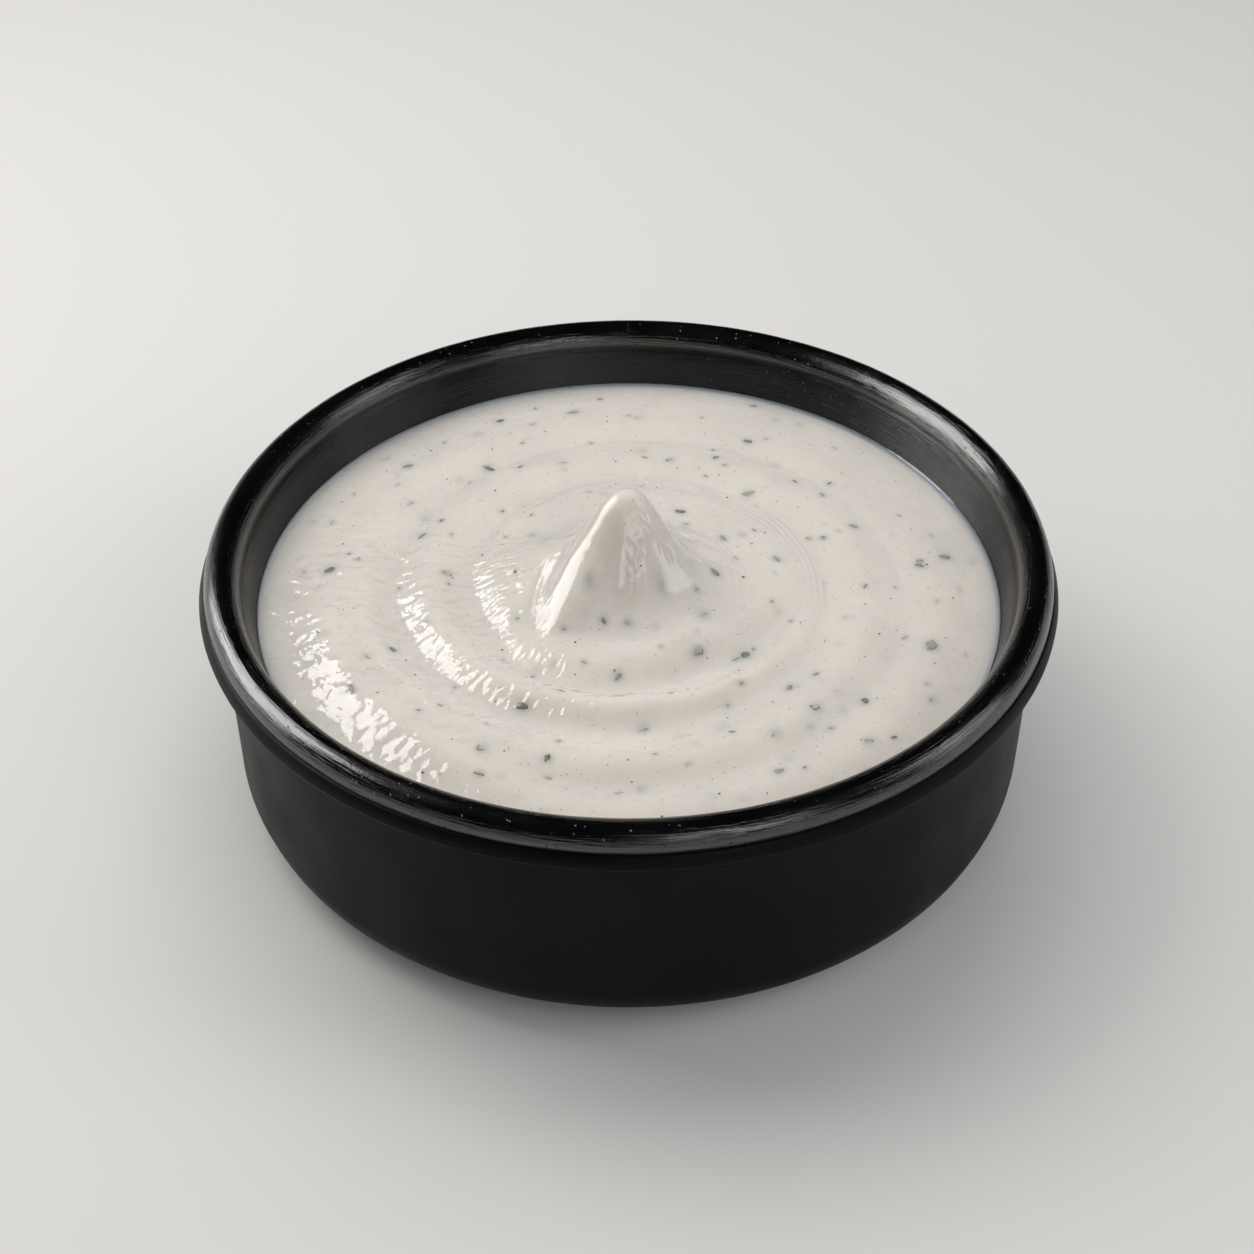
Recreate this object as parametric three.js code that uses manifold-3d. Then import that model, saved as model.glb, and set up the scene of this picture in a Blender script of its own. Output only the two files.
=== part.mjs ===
// A round dip bowl of black glazed stoneware with a rolled lip, filled with ranch dressing.
// The dressing is spooned into a spiral swirl with a soft peak in the middle, and carries herb flakes.
// Millimetres, +Z up. The origin is the centre of the underside, on the surface the bowl stands on.
import * as THREE from "three";
import { mergeVertices } from "three/addons/utils/BufferGeometryUtils.js";
import Module from "manifold-3d";

// ---- bowl ----
const RIM_RADIUS = 50; // widest point of the lip
const BOWL_HEIGHT = 32.8; // table to the crest of the lip
const WALL_RADIUS = 47.8; // outside of the wall
const BASE_RADIUS = 36; // flat underside
const BASE_CORNER_HEIGHT = 7.2; // rise of the round between underside and wall
const LIP_FOOT_Z = 28.4; // lower edge of the lip band, where it overhangs the wall
const CREASE_Z = 30.2; // fine crease between the lip's band and its roll
const CREASE_RADIUS = 49.4;
const CREST_RADIUS = 47.5; // top of the roll
const INNER_EDGE_RADIUS = 45.2; // where the roll turns into the inner wall
const INNER_EDGE_Z = 30.3;
const INNER_FILLET_DROP = 0.8; // small round under the inner edge
const INNER_FILLET_DEPTH = 0.35;
const FLOOR_Z = 4.4; // inside of the bowl's floor
const FLOOR_RADIUS = 32.5;
const INNER_WALL_FOOT_Z = 13.5; // where the inner wall starts to round into the floor
const INNER_FILL_RADIUS = 43.7; // inner wall at the dressing's level
const INNER_WALL_FOOT_RADIUS = 42.6;
const INNER_WALL_MIDDLE_SHARE = 0.4; // the inner wall steepens downwards: its lean at half height
const TURN_SEGMENTS = 72;

// ---- dressing ----
const FIT_GAP = 0.3; // between dressing and bowl
const FILL_Z = 25.1; // level of the dressing at the wall
const DOME_RISE = 0.8; // how much higher the middle stands than the edge
const TOP_RINGS = 34;
const SWIRL_PITCH = 9; // one turn of the spoon's groove to the next
const SWIRL_START_RADIUS = 34.5; // outermost full groove, at the front
const SWIRL_START_ANGLE = -90; // degrees
const SWIRL_MEAN_SHARE = 0.45; // share of a groove's depth that lies under the mean surface
const SWIRL_FADE_RADIUS = 42.5; // no groove from here to the wall
const SWIRL_FADE_WIDTH = 9;
const SWIRL_OUTER_SHARE = 0.62; // the outermost groove is shallower than the inner ones
const SWIRL_OUTER_RADIUS = 27.5;
const SWIRL_OUTER_WIDTH = 4;
const SWIRL_LIMIT_WIDTH = 3.2;
// The groove, once round: angle in degrees, depth, place of the crest as a share of the pitch,
// crispness (0 is a wave, 1 a crease between rounded bands) and the radius where it ends inwards.
const GROOVE = [
  [0, 0.5, 0.5, 0.7, 21.3],
  [90, 0.42, 0.5, 1, 20.4],
  [150, 0.7, 0.55, 0.7, 18],
  [200, 1.5, 0.6, 0, 15.8],
  [235, 1.5, 0.6, 0, 19.6],
  [265, 1.35, 0.6, 0, 20.4],
  [300, 1.1, 0.6, 0, 20.6],
  [330, 0.8, 0.55, 0.3, 21.2],
  [360, 0.5, 0.5, 0.7, 21.3],
];
// The mound, once round: angle in degrees, radius of its foot, rise and the reach of its slope.
const MOUND = [
  [0, 21, 0.55, 1.6],
  [90, 20.2, 0.8, 2],
  [140, 19.8, 1.2, 3],
  [168, 18.2, 2.3, 4.8],
  [200, 16.8, 2.6, 4.8],
  [226, 14.6, 2.5, 4.4],
  [246, 11.6, 1.6, 3.4],
  [270, 11, 0.5, 3],
  [300, 14, 0.2, 3],
  [330, 19, 0.2, 3],
  [360, 21, 0.55, 1.6],
];
const MOUND_FOOT_ROUNDING = 0.45;
const MOUND_MIDDLE_RISE = 1.6; // rise under the peak, the same all round
const MOUND_MIDDLE_RADIUS = 9;
// The last turn before the mound, at the front: angle in degrees, radius and depth of its groove.
const INNER_COIL = [
  [0, 20.8, 0],
  [205, 20.8, 0],
  [235, 19.8, 0.55],
  [265, 18.6, 1],
  [300, 17.4, 0.95],
  [330, 18.6, 0.5],
  [356, 21, 0],
  [360, 21, 0],
];
const COIL_GROOVE_HALF_WIDTH = 2;
const COIL_CREST_INSET = 4.2; // from the groove inwards to the crest beside it
const COIL_CREST_HALF_WIDTH = 2.4;
const COIL_CREST_SHARE = 0.75;
// Shoulder at the front left, where the spoon went in: it drops towards the wall.
const SHOULDER_ANGLE = 215;
const SHOULDER_SPREAD = 31; // degrees
const SHOULDER_SPREAD_SHARE = 1.6;
const SHOULDER_RISE = 1.6;
const SHOULDER_FOOT_RADIUS = 27.5;
const SHOULDER_CREST_RADIUS = 35.6;
const SHOULDER_END_RADIUS = 41;
const SHOULDER_BLEND = [30.5, 2.5]; // radius and width where it takes over from the groove
// Soft peak where the spoon was lifted out, as a rounded tip on a wider foot: rise, spread, power.
const PEAK = [
  [4.9, 3.8, 2.25],
  [6.4, 7.2, 1.8],
];
// Folds on the peak: rise in mm (a hollow where negative), half width in mm, and the fold's
// first, middle and last point as radius in mm and angle in degrees.
const PEAK_FOLDS = [
  [1.7, 3, [3, -172], [7.8, -148], [13.2, -120]],
  [-0.9, 1.5, [6.5, 172], [11.2, -163], [14, -138]],
  [-0.6, 2.4, [4, -115], [8.5, -108], [11.5, -95]],
  [0.6, 1.4, [3.5, 5], [6, -12], [8.5, -25]],
  [-0.5, 1.2, [4, 40], [7.5, 20], [11.5, 5]],
];
const FOLD_STEPS = 10;
const FOLD_END_POWER = 0.7; // how bluntly a fold ends

// ---- herb flakes ----
const FLAKE_COUNT = 40;
const FLAKE_LENGTH = [1.3, 2.2];
const FLAKE_WIDTH_SHARE = [0.45, 0.85];
const FLAKE_THICKNESS = 0.8;
const FLAKE_SINK = 0.12; // how far the middle of a flake lies under the surface
const FLAKE_SEED = 20;
const FLAKE_JITTER = 1.6;
const FLAKE_INNER_RADIUS = 7; // none on the peak
const FLAKE_OUTER_RADIUS = 41;
const GOLDEN_ANGLE = Math.PI * (3 - Math.sqrt(5));

const wasm = await Module();
wasm.setup();

const mix = (a, b, t) => a + (b - a) * t;
const clamp01 = (t) => Math.min(1, Math.max(0, t));
const ease = (t) => clamp01(t) ** 2 * (3 - 2 * clamp01(t));

// A repeatable stream of numbers from 0 to 1.
function randomStream(seed) {
  let state = seed >>> 0;
  return () => {
    state = (Math.imul(state, 1664525) + 1013904223) >>> 0;
    return state / 4294967296;
  };
}

// Points of a quarter ellipse from one end to the other, both ends included.
function quarter(centreR, centreZ, sizeR, sizeZ, fromDeg, toDeg, steps) {
  return Array.from({ length: steps + 1 }, (_, i) => {
    const angle = (mix(fromDeg, toDeg, i / steps) * Math.PI) / 180;
    return new THREE.Vector2(centreR + sizeR * Math.cos(angle), centreZ + sizeZ * Math.sin(angle));
  });
}

// A solid of revolution about +Z.
function turned(profile, segments) {
  return new THREE.LatheGeometry(profile, segments).rotateX(Math.PI / 2);
}

// The inside of the bowl from the dressing's level down to the axis, moved inwards by `gap`.
function insideProfile(gap) {
  const cornerR = INNER_WALL_FOOT_RADIUS - FLOOR_RADIUS;
  const cornerZ = INNER_WALL_FOOT_Z - FLOOR_Z;
  const middleRadius = mix(INNER_WALL_FOOT_RADIUS, INNER_FILL_RADIUS, INNER_WALL_MIDDLE_SHARE);
  return [
    new THREE.Vector2(INNER_FILL_RADIUS - gap, FILL_Z),
    new THREE.Vector2(middleRadius - gap, mix(INNER_WALL_FOOT_Z, FILL_Z, 0.5)),
    ...quarter(FLOOR_RADIUS, INNER_WALL_FOOT_Z, cornerR - gap, cornerZ - gap, 0, -90, 7),
    new THREE.Vector2(0, FLOOR_Z + gap),
  ];
}

function bowlGeometry() {
  const crestRise = BOWL_HEIGHT - INNER_EDGE_Z;
  const profile = [
    new THREE.Vector2(0, 0),
    ...quarter(BASE_RADIUS, BASE_CORNER_HEIGHT, WALL_RADIUS - BASE_RADIUS, BASE_CORNER_HEIGHT, -90, 0, 8),
    new THREE.Vector2(WALL_RADIUS, LIP_FOOT_Z - 0.7),
    new THREE.Vector2(WALL_RADIUS + 0.5, LIP_FOOT_Z - 0.2),
    new THREE.Vector2(RIM_RADIUS - 0.35, LIP_FOOT_Z),
    new THREE.Vector2(RIM_RADIUS, LIP_FOOT_Z + 0.45),
    new THREE.Vector2(CREASE_RADIUS, CREASE_Z),
    new THREE.Vector2(CREASE_RADIUS - 0.2, CREASE_Z + 0.12),
    ...quarter(CREST_RADIUS, INNER_EDGE_Z, CREASE_RADIUS - 0.1 - CREST_RADIUS, crestRise, 12, 90, 6),
    ...quarter(CREST_RADIUS, INNER_EDGE_Z, CREST_RADIUS - INNER_EDGE_RADIUS, crestRise, 105, 180, 5),
    new THREE.Vector2(INNER_EDGE_RADIUS - INNER_FILLET_DEPTH, INNER_EDGE_Z - INNER_FILLET_DROP),
    ...insideProfile(0),
  ];
  return turned(profile, TURN_SEGMENTS);
}

// A point from its radius and its angle in degrees.
function polar([radius, degrees]) {
  return new THREE.Vector2(radius, 0).rotateAround(new THREE.Vector2(), (degrees * Math.PI) / 180);
}

// The values listed for an angle in degrees, eased from one listed angle to the next.
function around(rows, degrees) {
  const next = rows.findIndex(([at]) => at > degrees);
  const [from, ...low] = rows[next - 1];
  const [to, ...high] = rows[next];
  const t = ease((degrees - from) / (to - from));
  return low.map((value, k) => mix(value, high[k], t));
}

// The spiral groove: a wave or a row of rounded bands, in mm above the mean surface.
function swirlHeight(radius, degrees, shoulder) {
  const [depth, crest, crispness, limit] = around(GROOVE, degrees);
  const turns = (radius - SWIRL_START_RADIUS) / SWIRL_PITCH + (degrees - SWIRL_START_ANGLE) / 360;
  const share = turns - Math.floor(turns);
  const skewed = share < crest ? share / crest / 2 : 0.5 + (share - crest) / (1 - crest) / 2;
  const wave = 0.5 - 0.5 * Math.cos(2 * Math.PI * skewed);
  const bands = 4 * skewed * (1 - skewed);
  const [blendRadius, blendWidth] = SHOULDER_BLEND;
  const fade =
    ease((SWIRL_FADE_RADIUS - radius) / SWIRL_FADE_WIDTH) *
    mix(1, SWIRL_OUTER_SHARE, ease((radius - SWIRL_OUTER_RADIUS) / SWIRL_OUTER_WIDTH)) *
    ease((radius - limit) / SWIRL_LIMIT_WIDTH + 0.5) *
    (1 - shoulder * ease((radius - blendRadius) / blendWidth));
  return depth * fade * (mix(wave, bands, crispness) - SWIRL_MEAN_SHARE);
}

// The mound under the peak, rising from its foot in a slope that levels off.
function moundHeight(radius, degrees) {
  const [foot, rise, reach] = around(MOUND, degrees);
  const inside = MOUND_FOOT_ROUNDING * Math.log1p(Math.exp((foot - radius) / MOUND_FOOT_ROUNDING));
  return mix(MOUND_MIDDLE_RISE, rise * (1 - Math.exp(-inside / reach)), ease(radius / MOUND_MIDDLE_RADIUS));
}

// One fold, highest along a curve through its three points.
function foldHeight(x, y, [rise, halfWidth, ...marks]) {
  const point = new THREE.Vector2(x, y);
  const curve = new THREE.QuadraticBezierCurve(...marks.map(polar));
  let top = 0;
  for (let i = 0; i < FOLD_STEPS; i++) {
    const from = curve.getPoint(i / FOLD_STEPS);
    const step = curve.getPoint((i + 1) / FOLD_STEPS).sub(from);
    const share = clamp01(point.clone().sub(from).dot(step) / step.lengthSq());
    const far = point.distanceTo(from.addScaledVector(step, share));
    const swell = Math.sin((Math.PI * (i + share)) / FOLD_STEPS) ** FOLD_END_POWER || 0;
    top = Math.max(top, swell * Math.exp(-((far / halfWidth) ** 2)));
  }
  return rise * top;
}

// Height of the dressing's surface above the table at a point.
function dressingHeight(x, y) {
  const radius = Math.hypot(x, y);
  const degrees = ((Math.atan2(y, x) * 180) / Math.PI + 360) % 360;
  const dome = DOME_RISE * (1 - (radius / SWIRL_FADE_RADIUS) ** 2);

  const shoulder = ease(SHOULDER_SPREAD_SHARE - Math.abs(degrees - SHOULDER_ANGLE) / SHOULDER_SPREAD);
  const drop =
    SHOULDER_RISE *
    shoulder *
    ease((radius - SHOULDER_FOOT_RADIUS) / (SHOULDER_CREST_RADIUS - SHOULDER_FOOT_RADIUS)) *
    (1 - ease((radius - SHOULDER_CREST_RADIUS) / (SHOULDER_END_RADIUS - SHOULDER_CREST_RADIUS)));

  const [coilRadius, coilDepth] = around(INNER_COIL, degrees);
  const fromGroove = radius - coilRadius;
  const coil =
    coilDepth *
    (COIL_CREST_SHARE * Math.exp(-(((fromGroove + COIL_CREST_INSET) / COIL_CREST_HALF_WIDTH) ** 2)) -
      Math.exp(-((fromGroove / COIL_GROOVE_HALF_WIDTH) ** 2)));

  const folds = PEAK_FOLDS.reduce((sum, fold) => sum + foldHeight(x, y, fold), 0);
  const peak = PEAK.reduce((sum, [rise, spread, power]) => sum + rise * Math.exp(-((radius / spread) ** power)), 0);
  return (
    FILL_Z + dome + moundHeight(radius, degrees) + swirlHeight(radius, degrees, shoulder) + coil + drop + folds + peak
  );
}

// Outward normal of the dressing's surface at a point.
function dressingNormal(x, y) {
  const step = 0.2;
  const slopeX = (dressingHeight(x + step, y) - dressingHeight(x - step, y)) / (2 * step);
  const slopeY = (dressingHeight(x, y + step) - dressingHeight(x, y - step)) / (2 * step);
  return new THREE.Vector3(-slopeX, -slopeY, 1).normalize();
}

function dressingGeometry() {
  const edgeRadius = INNER_FILL_RADIUS - FIT_GAP;
  const underside = insideProfile(FIT_GAP).reverse();
  const top = Array.from(
    { length: TOP_RINGS },
    (_, i) => new THREE.Vector2(edgeRadius * (1 - (i + 1) / TOP_RINGS), FILL_Z),
  );
  const geometry = turned([...underside, ...top], TURN_SEGMENTS);
  const position = geometry.getAttribute("position");
  for (let i = 0; i < position.count; i++) {
    const [x, y] = [position.getX(i), position.getY(i)];
    if (position.getZ(i) > FILL_Z - 1e-3 && Math.hypot(x, y) < edgeRadius - 1e-3) {
      position.setZ(i, dressingHeight(x, y));
    }
  }
  return geometry;
}

// Flakes spread evenly by the golden angle, each moved, sized and turned a little at random.
function flakeGeometries() {
  const random = randomStream(FLAKE_SEED);
  const flakes = [];
  for (let i = 0; i < FLAKE_COUNT; i++) {
    const share = (i + 0.5) / FLAKE_COUNT;
    const radius = Math.sqrt(mix(FLAKE_INNER_RADIUS ** 2, FLAKE_OUTER_RADIUS ** 2, share));
    const x = radius * Math.cos(i * GOLDEN_ANGLE) + mix(-FLAKE_JITTER, FLAKE_JITTER, random());
    const y = radius * Math.sin(i * GOLDEN_ANGLE) + mix(-FLAKE_JITTER, FLAKE_JITTER, random());
    const length = mix(...FLAKE_LENGTH, random());
    const width = length * mix(...FLAKE_WIDTH_SHARE, random());
    const turn = random() * 2 * Math.PI;
    if (Math.hypot(x, y) > FLAKE_OUTER_RADIUS) continue;
    const normal = dressingNormal(x, y);
    const tilt = new THREE.Quaternion().setFromUnitVectors(new THREE.Vector3(0, 0, 1), normal);
    const place = new THREE.Vector3(x, y, dressingHeight(x, y)).addScaledVector(normal, -FLAKE_SINK);
    flakes.push(
      new THREE.IcosahedronGeometry(1, 0)
        .scale(length / 2, width / 2, FLAKE_THICKNESS / 2)
        .rotateZ(turn)
        .applyQuaternion(tilt)
        .translate(...place),
    );
  }
  return flakes;
}

// A closed geometry as a manifold-3d solid.
function toSolid(geometry) {
  const bare = geometry.clone();
  bare.deleteAttribute("normal");
  bare.deleteAttribute("uv");
  const merged = mergeVertices(bare, 1e-4);
  const triVerts = [];
  const index = merged.index.array;
  for (let i = 0; i < index.length; i += 3) {
    const [a, b, c] = [index[i], index[i + 1], index[i + 2]];
    if (a !== b && b !== c && c !== a) triVerts.push(a, b, c);
  }
  return new wasm.Manifold(
    new wasm.Mesh({
      numProp: 3,
      vertProperties: new Float32Array(merged.attributes.position.array),
      triVerts: new Uint32Array(triVerts),
    }),
  );
}

// A manifold-3d solid as a three.js geometry.
function toGeometry(solid) {
  const { vertProperties, triVerts } = solid.getMesh();
  const geometry = new THREE.BufferGeometry()
    .setAttribute("position", new THREE.BufferAttribute(vertProperties, 3))
    .setIndex(new THREE.BufferAttribute(triVerts, 1));
  geometry.computeVertexNormals();
  return geometry;
}

function makeBowl() {
  const glaze = new THREE.MeshStandardMaterial({ color: 0x1a1a1b, roughness: 0.38, metalness: 0 });
  const bowl = new THREE.Mesh(bowlGeometry(), glaze);
  bowl.name = "bowl";
  return bowl;
}

function makeDressing() {
  const cream = new THREE.MeshStandardMaterial({ color: 0xe3ddd2, roughness: 0.3, metalness: 0 });
  const body = toSolid(dressingGeometry());
  const withFlakes = flakeGeometries().reduce((solid, flake) => solid.add(toSolid(flake)), body);
  const dressing = new THREE.Mesh(toGeometry(withFlakes), cream);
  dressing.name = "ranch_dressing";
  return dressing;
}

const bowlOfDressing = new THREE.Group();
bowlOfDressing.add(makeBowl(), makeDressing());

export default bowlOfDressing;
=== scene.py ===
"""A black stoneware dip bowl filled with ranch dressing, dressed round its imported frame.

The bowl is thrown as one lathe form with a rolled lip. The dressing is one swirled surface with a
soft peak, and the herb flakes, slivers and pepper in it are scattered meshes at their true size.
Lengths are millimetres until a mesh is made, and metres from there on.
"""

import logging
import math
import random
from dataclasses import dataclass, field
from enum import Enum
from typing import Callable, Iterable, Sequence

import bpy
import numpy as np
from mathutils import Euler, Matrix, Vector, noise


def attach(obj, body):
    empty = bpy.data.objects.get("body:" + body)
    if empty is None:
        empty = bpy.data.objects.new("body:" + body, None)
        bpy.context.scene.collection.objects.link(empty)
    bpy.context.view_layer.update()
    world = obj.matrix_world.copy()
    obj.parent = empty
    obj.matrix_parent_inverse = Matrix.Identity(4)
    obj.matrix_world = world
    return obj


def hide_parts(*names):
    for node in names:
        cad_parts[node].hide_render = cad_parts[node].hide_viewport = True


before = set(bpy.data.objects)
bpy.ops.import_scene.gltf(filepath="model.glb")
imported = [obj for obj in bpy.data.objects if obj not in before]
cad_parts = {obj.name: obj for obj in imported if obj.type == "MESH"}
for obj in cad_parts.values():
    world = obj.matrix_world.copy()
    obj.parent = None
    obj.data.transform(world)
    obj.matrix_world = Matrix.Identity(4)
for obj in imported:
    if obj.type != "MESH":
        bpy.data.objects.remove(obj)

LOG = logging.getLogger("bowl_of_dressing")
MM = 0.001
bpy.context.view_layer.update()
# The stretch of a noise's values that nearly all of its lumps fall in.
NOISE_SPAN = (0.3, 0.7)
# How far drawn-out noise bends off its way.
STROKE_SWAY = 0.6


# ------------------------------------------------------------------ helpers


def linear(code: str) -> tuple[float, float, float, float]:
    """Turns an sRGB hex colour into linear light.

    Args:
        code: The colour as six hex digits, such as "e3ddd2".

    Returns:
        Red, green, blue and an alpha of one.
    """
    parts = [int(code[i : i + 2], 16) / 255 for i in (0, 2, 4)]
    light = [c / 12.92 if c <= 0.04045 else ((c + 0.055) / 1.055) ** 2.4 for c in parts]
    return (light[0], light[1], light[2], 1.0)


def ease(t: np.ndarray) -> np.ndarray:
    """Smooth step from 0 to 1, held flat outside that range."""
    t = np.clip(t, 0.0, 1.0)
    return t * t * (3 - 2 * t)


def mix(a: float, b: float, t: float) -> float:
    """Value a share t of the way from a to b."""
    return a + (b - a) * t


def add_node(
    tree: bpy.types.NodeTree,
    kind: str,
    settings: dict | None = None,
    links: dict | None = None,
    stops: Sequence[tuple[float, tuple[float, float, float, float]]] = (),
) -> bpy.types.Node:
    """Adds a shader node with its settings, its incoming links and, on a ramp, its colour stops.

    Args:
        tree: The node tree that takes the node.
        kind: The node's type name.
        settings: Attribute names or input names, with the value each gets.
        links: Input names or numbers, with the output socket each is fed from.
        stops: Place and colour of a ramp's two stops, in rising order.

    Returns:
        The new node.
    """
    node = tree.nodes.new(kind)
    for name, value in (settings or {}).items():
        if isinstance(name, str) and hasattr(node, name):
            setattr(node, name, value)
        else:
            node.inputs[name].default_value = value
    for name, source in (links or {}).items():
        tree.links.new(source, node.inputs[name])
    if stops:
        for element, (where, colour) in zip(node.color_ramp.elements, stops):
            element.position = where
            element.color = colour
    return node


def new_material(name: str) -> tuple[bpy.types.Material, bpy.types.NodeTree, bpy.types.Node]:
    """Makes an empty node material with a Principled shader wired to its output.

    Args:
        name: The material's name.

    Returns:
        The material, its tree and the shader node.
    """
    material = bpy.data.materials.new(name)
    material.use_nodes = True
    tree = material.node_tree
    tree.nodes.clear()
    shader = add_node(tree, "ShaderNodeBsdfPrincipled")
    add_node(tree, "ShaderNodeOutputMaterial", links={"Surface": shader.outputs["BSDF"]})
    return material, tree, shader


def scale_for(size: float) -> float:
    """Scale of a pattern whose lumps have a size in mm."""
    return 1 / (size * MM)


def away_from_axis(tree: bpy.types.NodeTree, axes: bpy.types.bpy_prop_collection) -> bpy.types.NodeSocket:
    """Adds the distance from the upright axis, from the X and Y of a place."""
    flat = add_node(tree, "ShaderNodeCombineXYZ", links={"X": axes["X"], "Y": axes["Y"]}).outputs["Vector"]
    return add_node(tree, "ShaderNodeVectorMath", {"operation": "LENGTH"}, {0: flat}).outputs["Value"]


def strokes(
    tree: bpy.types.NodeTree, place: bpy.types.NodeSocket, pace: tuple[float, float, float], detail: float
) -> bpy.types.NodeSocket:
    """Adds noise drawn out round the axis or away from it.

    Args:
        tree: The node tree.
        place: Object coordinates.
        pace: Lumps for each radian round the axis, each mm away from it and each mm up.
        detail: How many finer layers the noise has.

    Returns:
        The noise, whose seam lies at the back.
    """
    turned = add_node(
        tree, "ShaderNodeMapping", {"Rotation": (0, 0, math.pi / 2)}, {"Vector": place}
    ).outputs["Vector"]
    axes = add_node(tree, "ShaderNodeSeparateXYZ", links={"Vector": turned}).outputs
    turn = add_node(
        tree, "ShaderNodeMath", {"operation": "ARCTAN2"}, {0: axes["Y"], 1: axes["X"]}
    ).outputs["Value"]
    away = away_from_axis(tree, axes)
    scaled = [
        add_node(tree, "ShaderNodeMath", {"operation": "MULTIPLY", 1: share}, {0: source}).outputs["Value"]
        for source, share in ((turn, pace[0]), (away, pace[1] / MM), (axes["Z"], pace[2] / MM))
    ]
    drawn = add_node(tree, "ShaderNodeCombineXYZ", links=dict(zip("XYZ", scaled))).outputs["Vector"]
    settings = {"Scale": 1.0, "Detail": detail, "Distortion": STROKE_SWAY}
    return add_node(tree, "ShaderNodeTexNoise", settings, {"Vector": drawn}).outputs["Fac"]


def grey(value: float) -> tuple[float, float, float, float]:
    """A grey as a linear colour."""
    return (value, value, value, 1.0)


def deselect() -> None:
    """Leaves edit mode and clears the selection."""
    if bpy.context.object and bpy.context.object.mode != "OBJECT":
        bpy.ops.object.mode_set(mode="OBJECT")
    bpy.ops.object.select_all(action="DESELECT")


def take(obj: bpy.types.Object) -> None:
    """Makes one object the only selected and active one.

    Args:
        obj: The object.
    """
    deselect()
    obj.select_set(True)
    bpy.context.view_layer.objects.active = obj


def select_vertices(obj: bpy.types.Object, wanted: Callable[[Vector], bool]) -> None:
    """Selects, in edit mode, the vertices at the places that a test accepts.

    Args:
        obj: The active mesh object, in edit mode.
        wanted: Test of a vertex's place.
    """
    bpy.ops.object.mode_set(mode="OBJECT")
    for part in (obj.data.polygons, obj.data.edges):
        part.foreach_set("select", np.zeros(len(part), dtype=bool))
    for vertex in obj.data.vertices:
        vertex.select = wanted(vertex.co)
    bpy.ops.object.mode_set(mode="EDIT")
    bpy.ops.mesh.select_mode(type="VERT")


def settle(obj: bpy.types.Object, name: str, material: bpy.types.Material) -> bpy.types.Object:
    """Applies an object's place, names it and gives it its material.

    Args:
        obj: The finished mesh object.
        name: Name of the piece.
        material: Finish of the piece.

    Returns:
        The same object.
    """
    take(obj)
    bpy.ops.object.transform_apply(location=True, rotation=True, scale=True)
    obj.name = name
    obj.data.name = name
    obj.data.materials.clear()
    obj.data.materials.append(material)
    return obj


@dataclass(frozen=True)
class PhotoCamera:
    """Where the photograph was taken from, in mm and degrees, and its side in pixels."""

    place: tuple[float, float, float] = (0.0, -186.4, 173.1)
    pitch: float = 39.65
    pan: float = -0.07
    roll: float = -0.19
    lens: float = 57.42
    sensor: float = 36.0
    photo_side: int = 1254

    def turn(self) -> Matrix:
        """The camera's turn from looking straight down."""
        aim = Euler((math.radians(90 - self.pitch), 0, math.radians(-self.pan)))
        return aim.to_matrix() @ Matrix.Rotation(math.radians(self.roll), 3, "Z")

    def rays(self, pixels: np.ndarray) -> np.ndarray:
        """Directions in which the camera sees pixels of the photograph.

        Args:
            pixels: Column and row of each pixel, a row for each.

        Returns:
            One direction for each pixel.
        """
        off = (pixels / self.photo_side - 0.5) * self.sensor / self.lens
        seen = np.stack([off[:, 0], -off[:, 1], np.full(len(off), -1.0)], axis=1)
        return seen @ np.array(self.turn()).T


# ------------------------------------------------------------------ finishes


class GlazeZone(Enum):
    """Parts of the bowl's glaze, by how they shine."""

    WALL = "wall"
    INSIDE = "inside"
    LIP = "lip"


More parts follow.
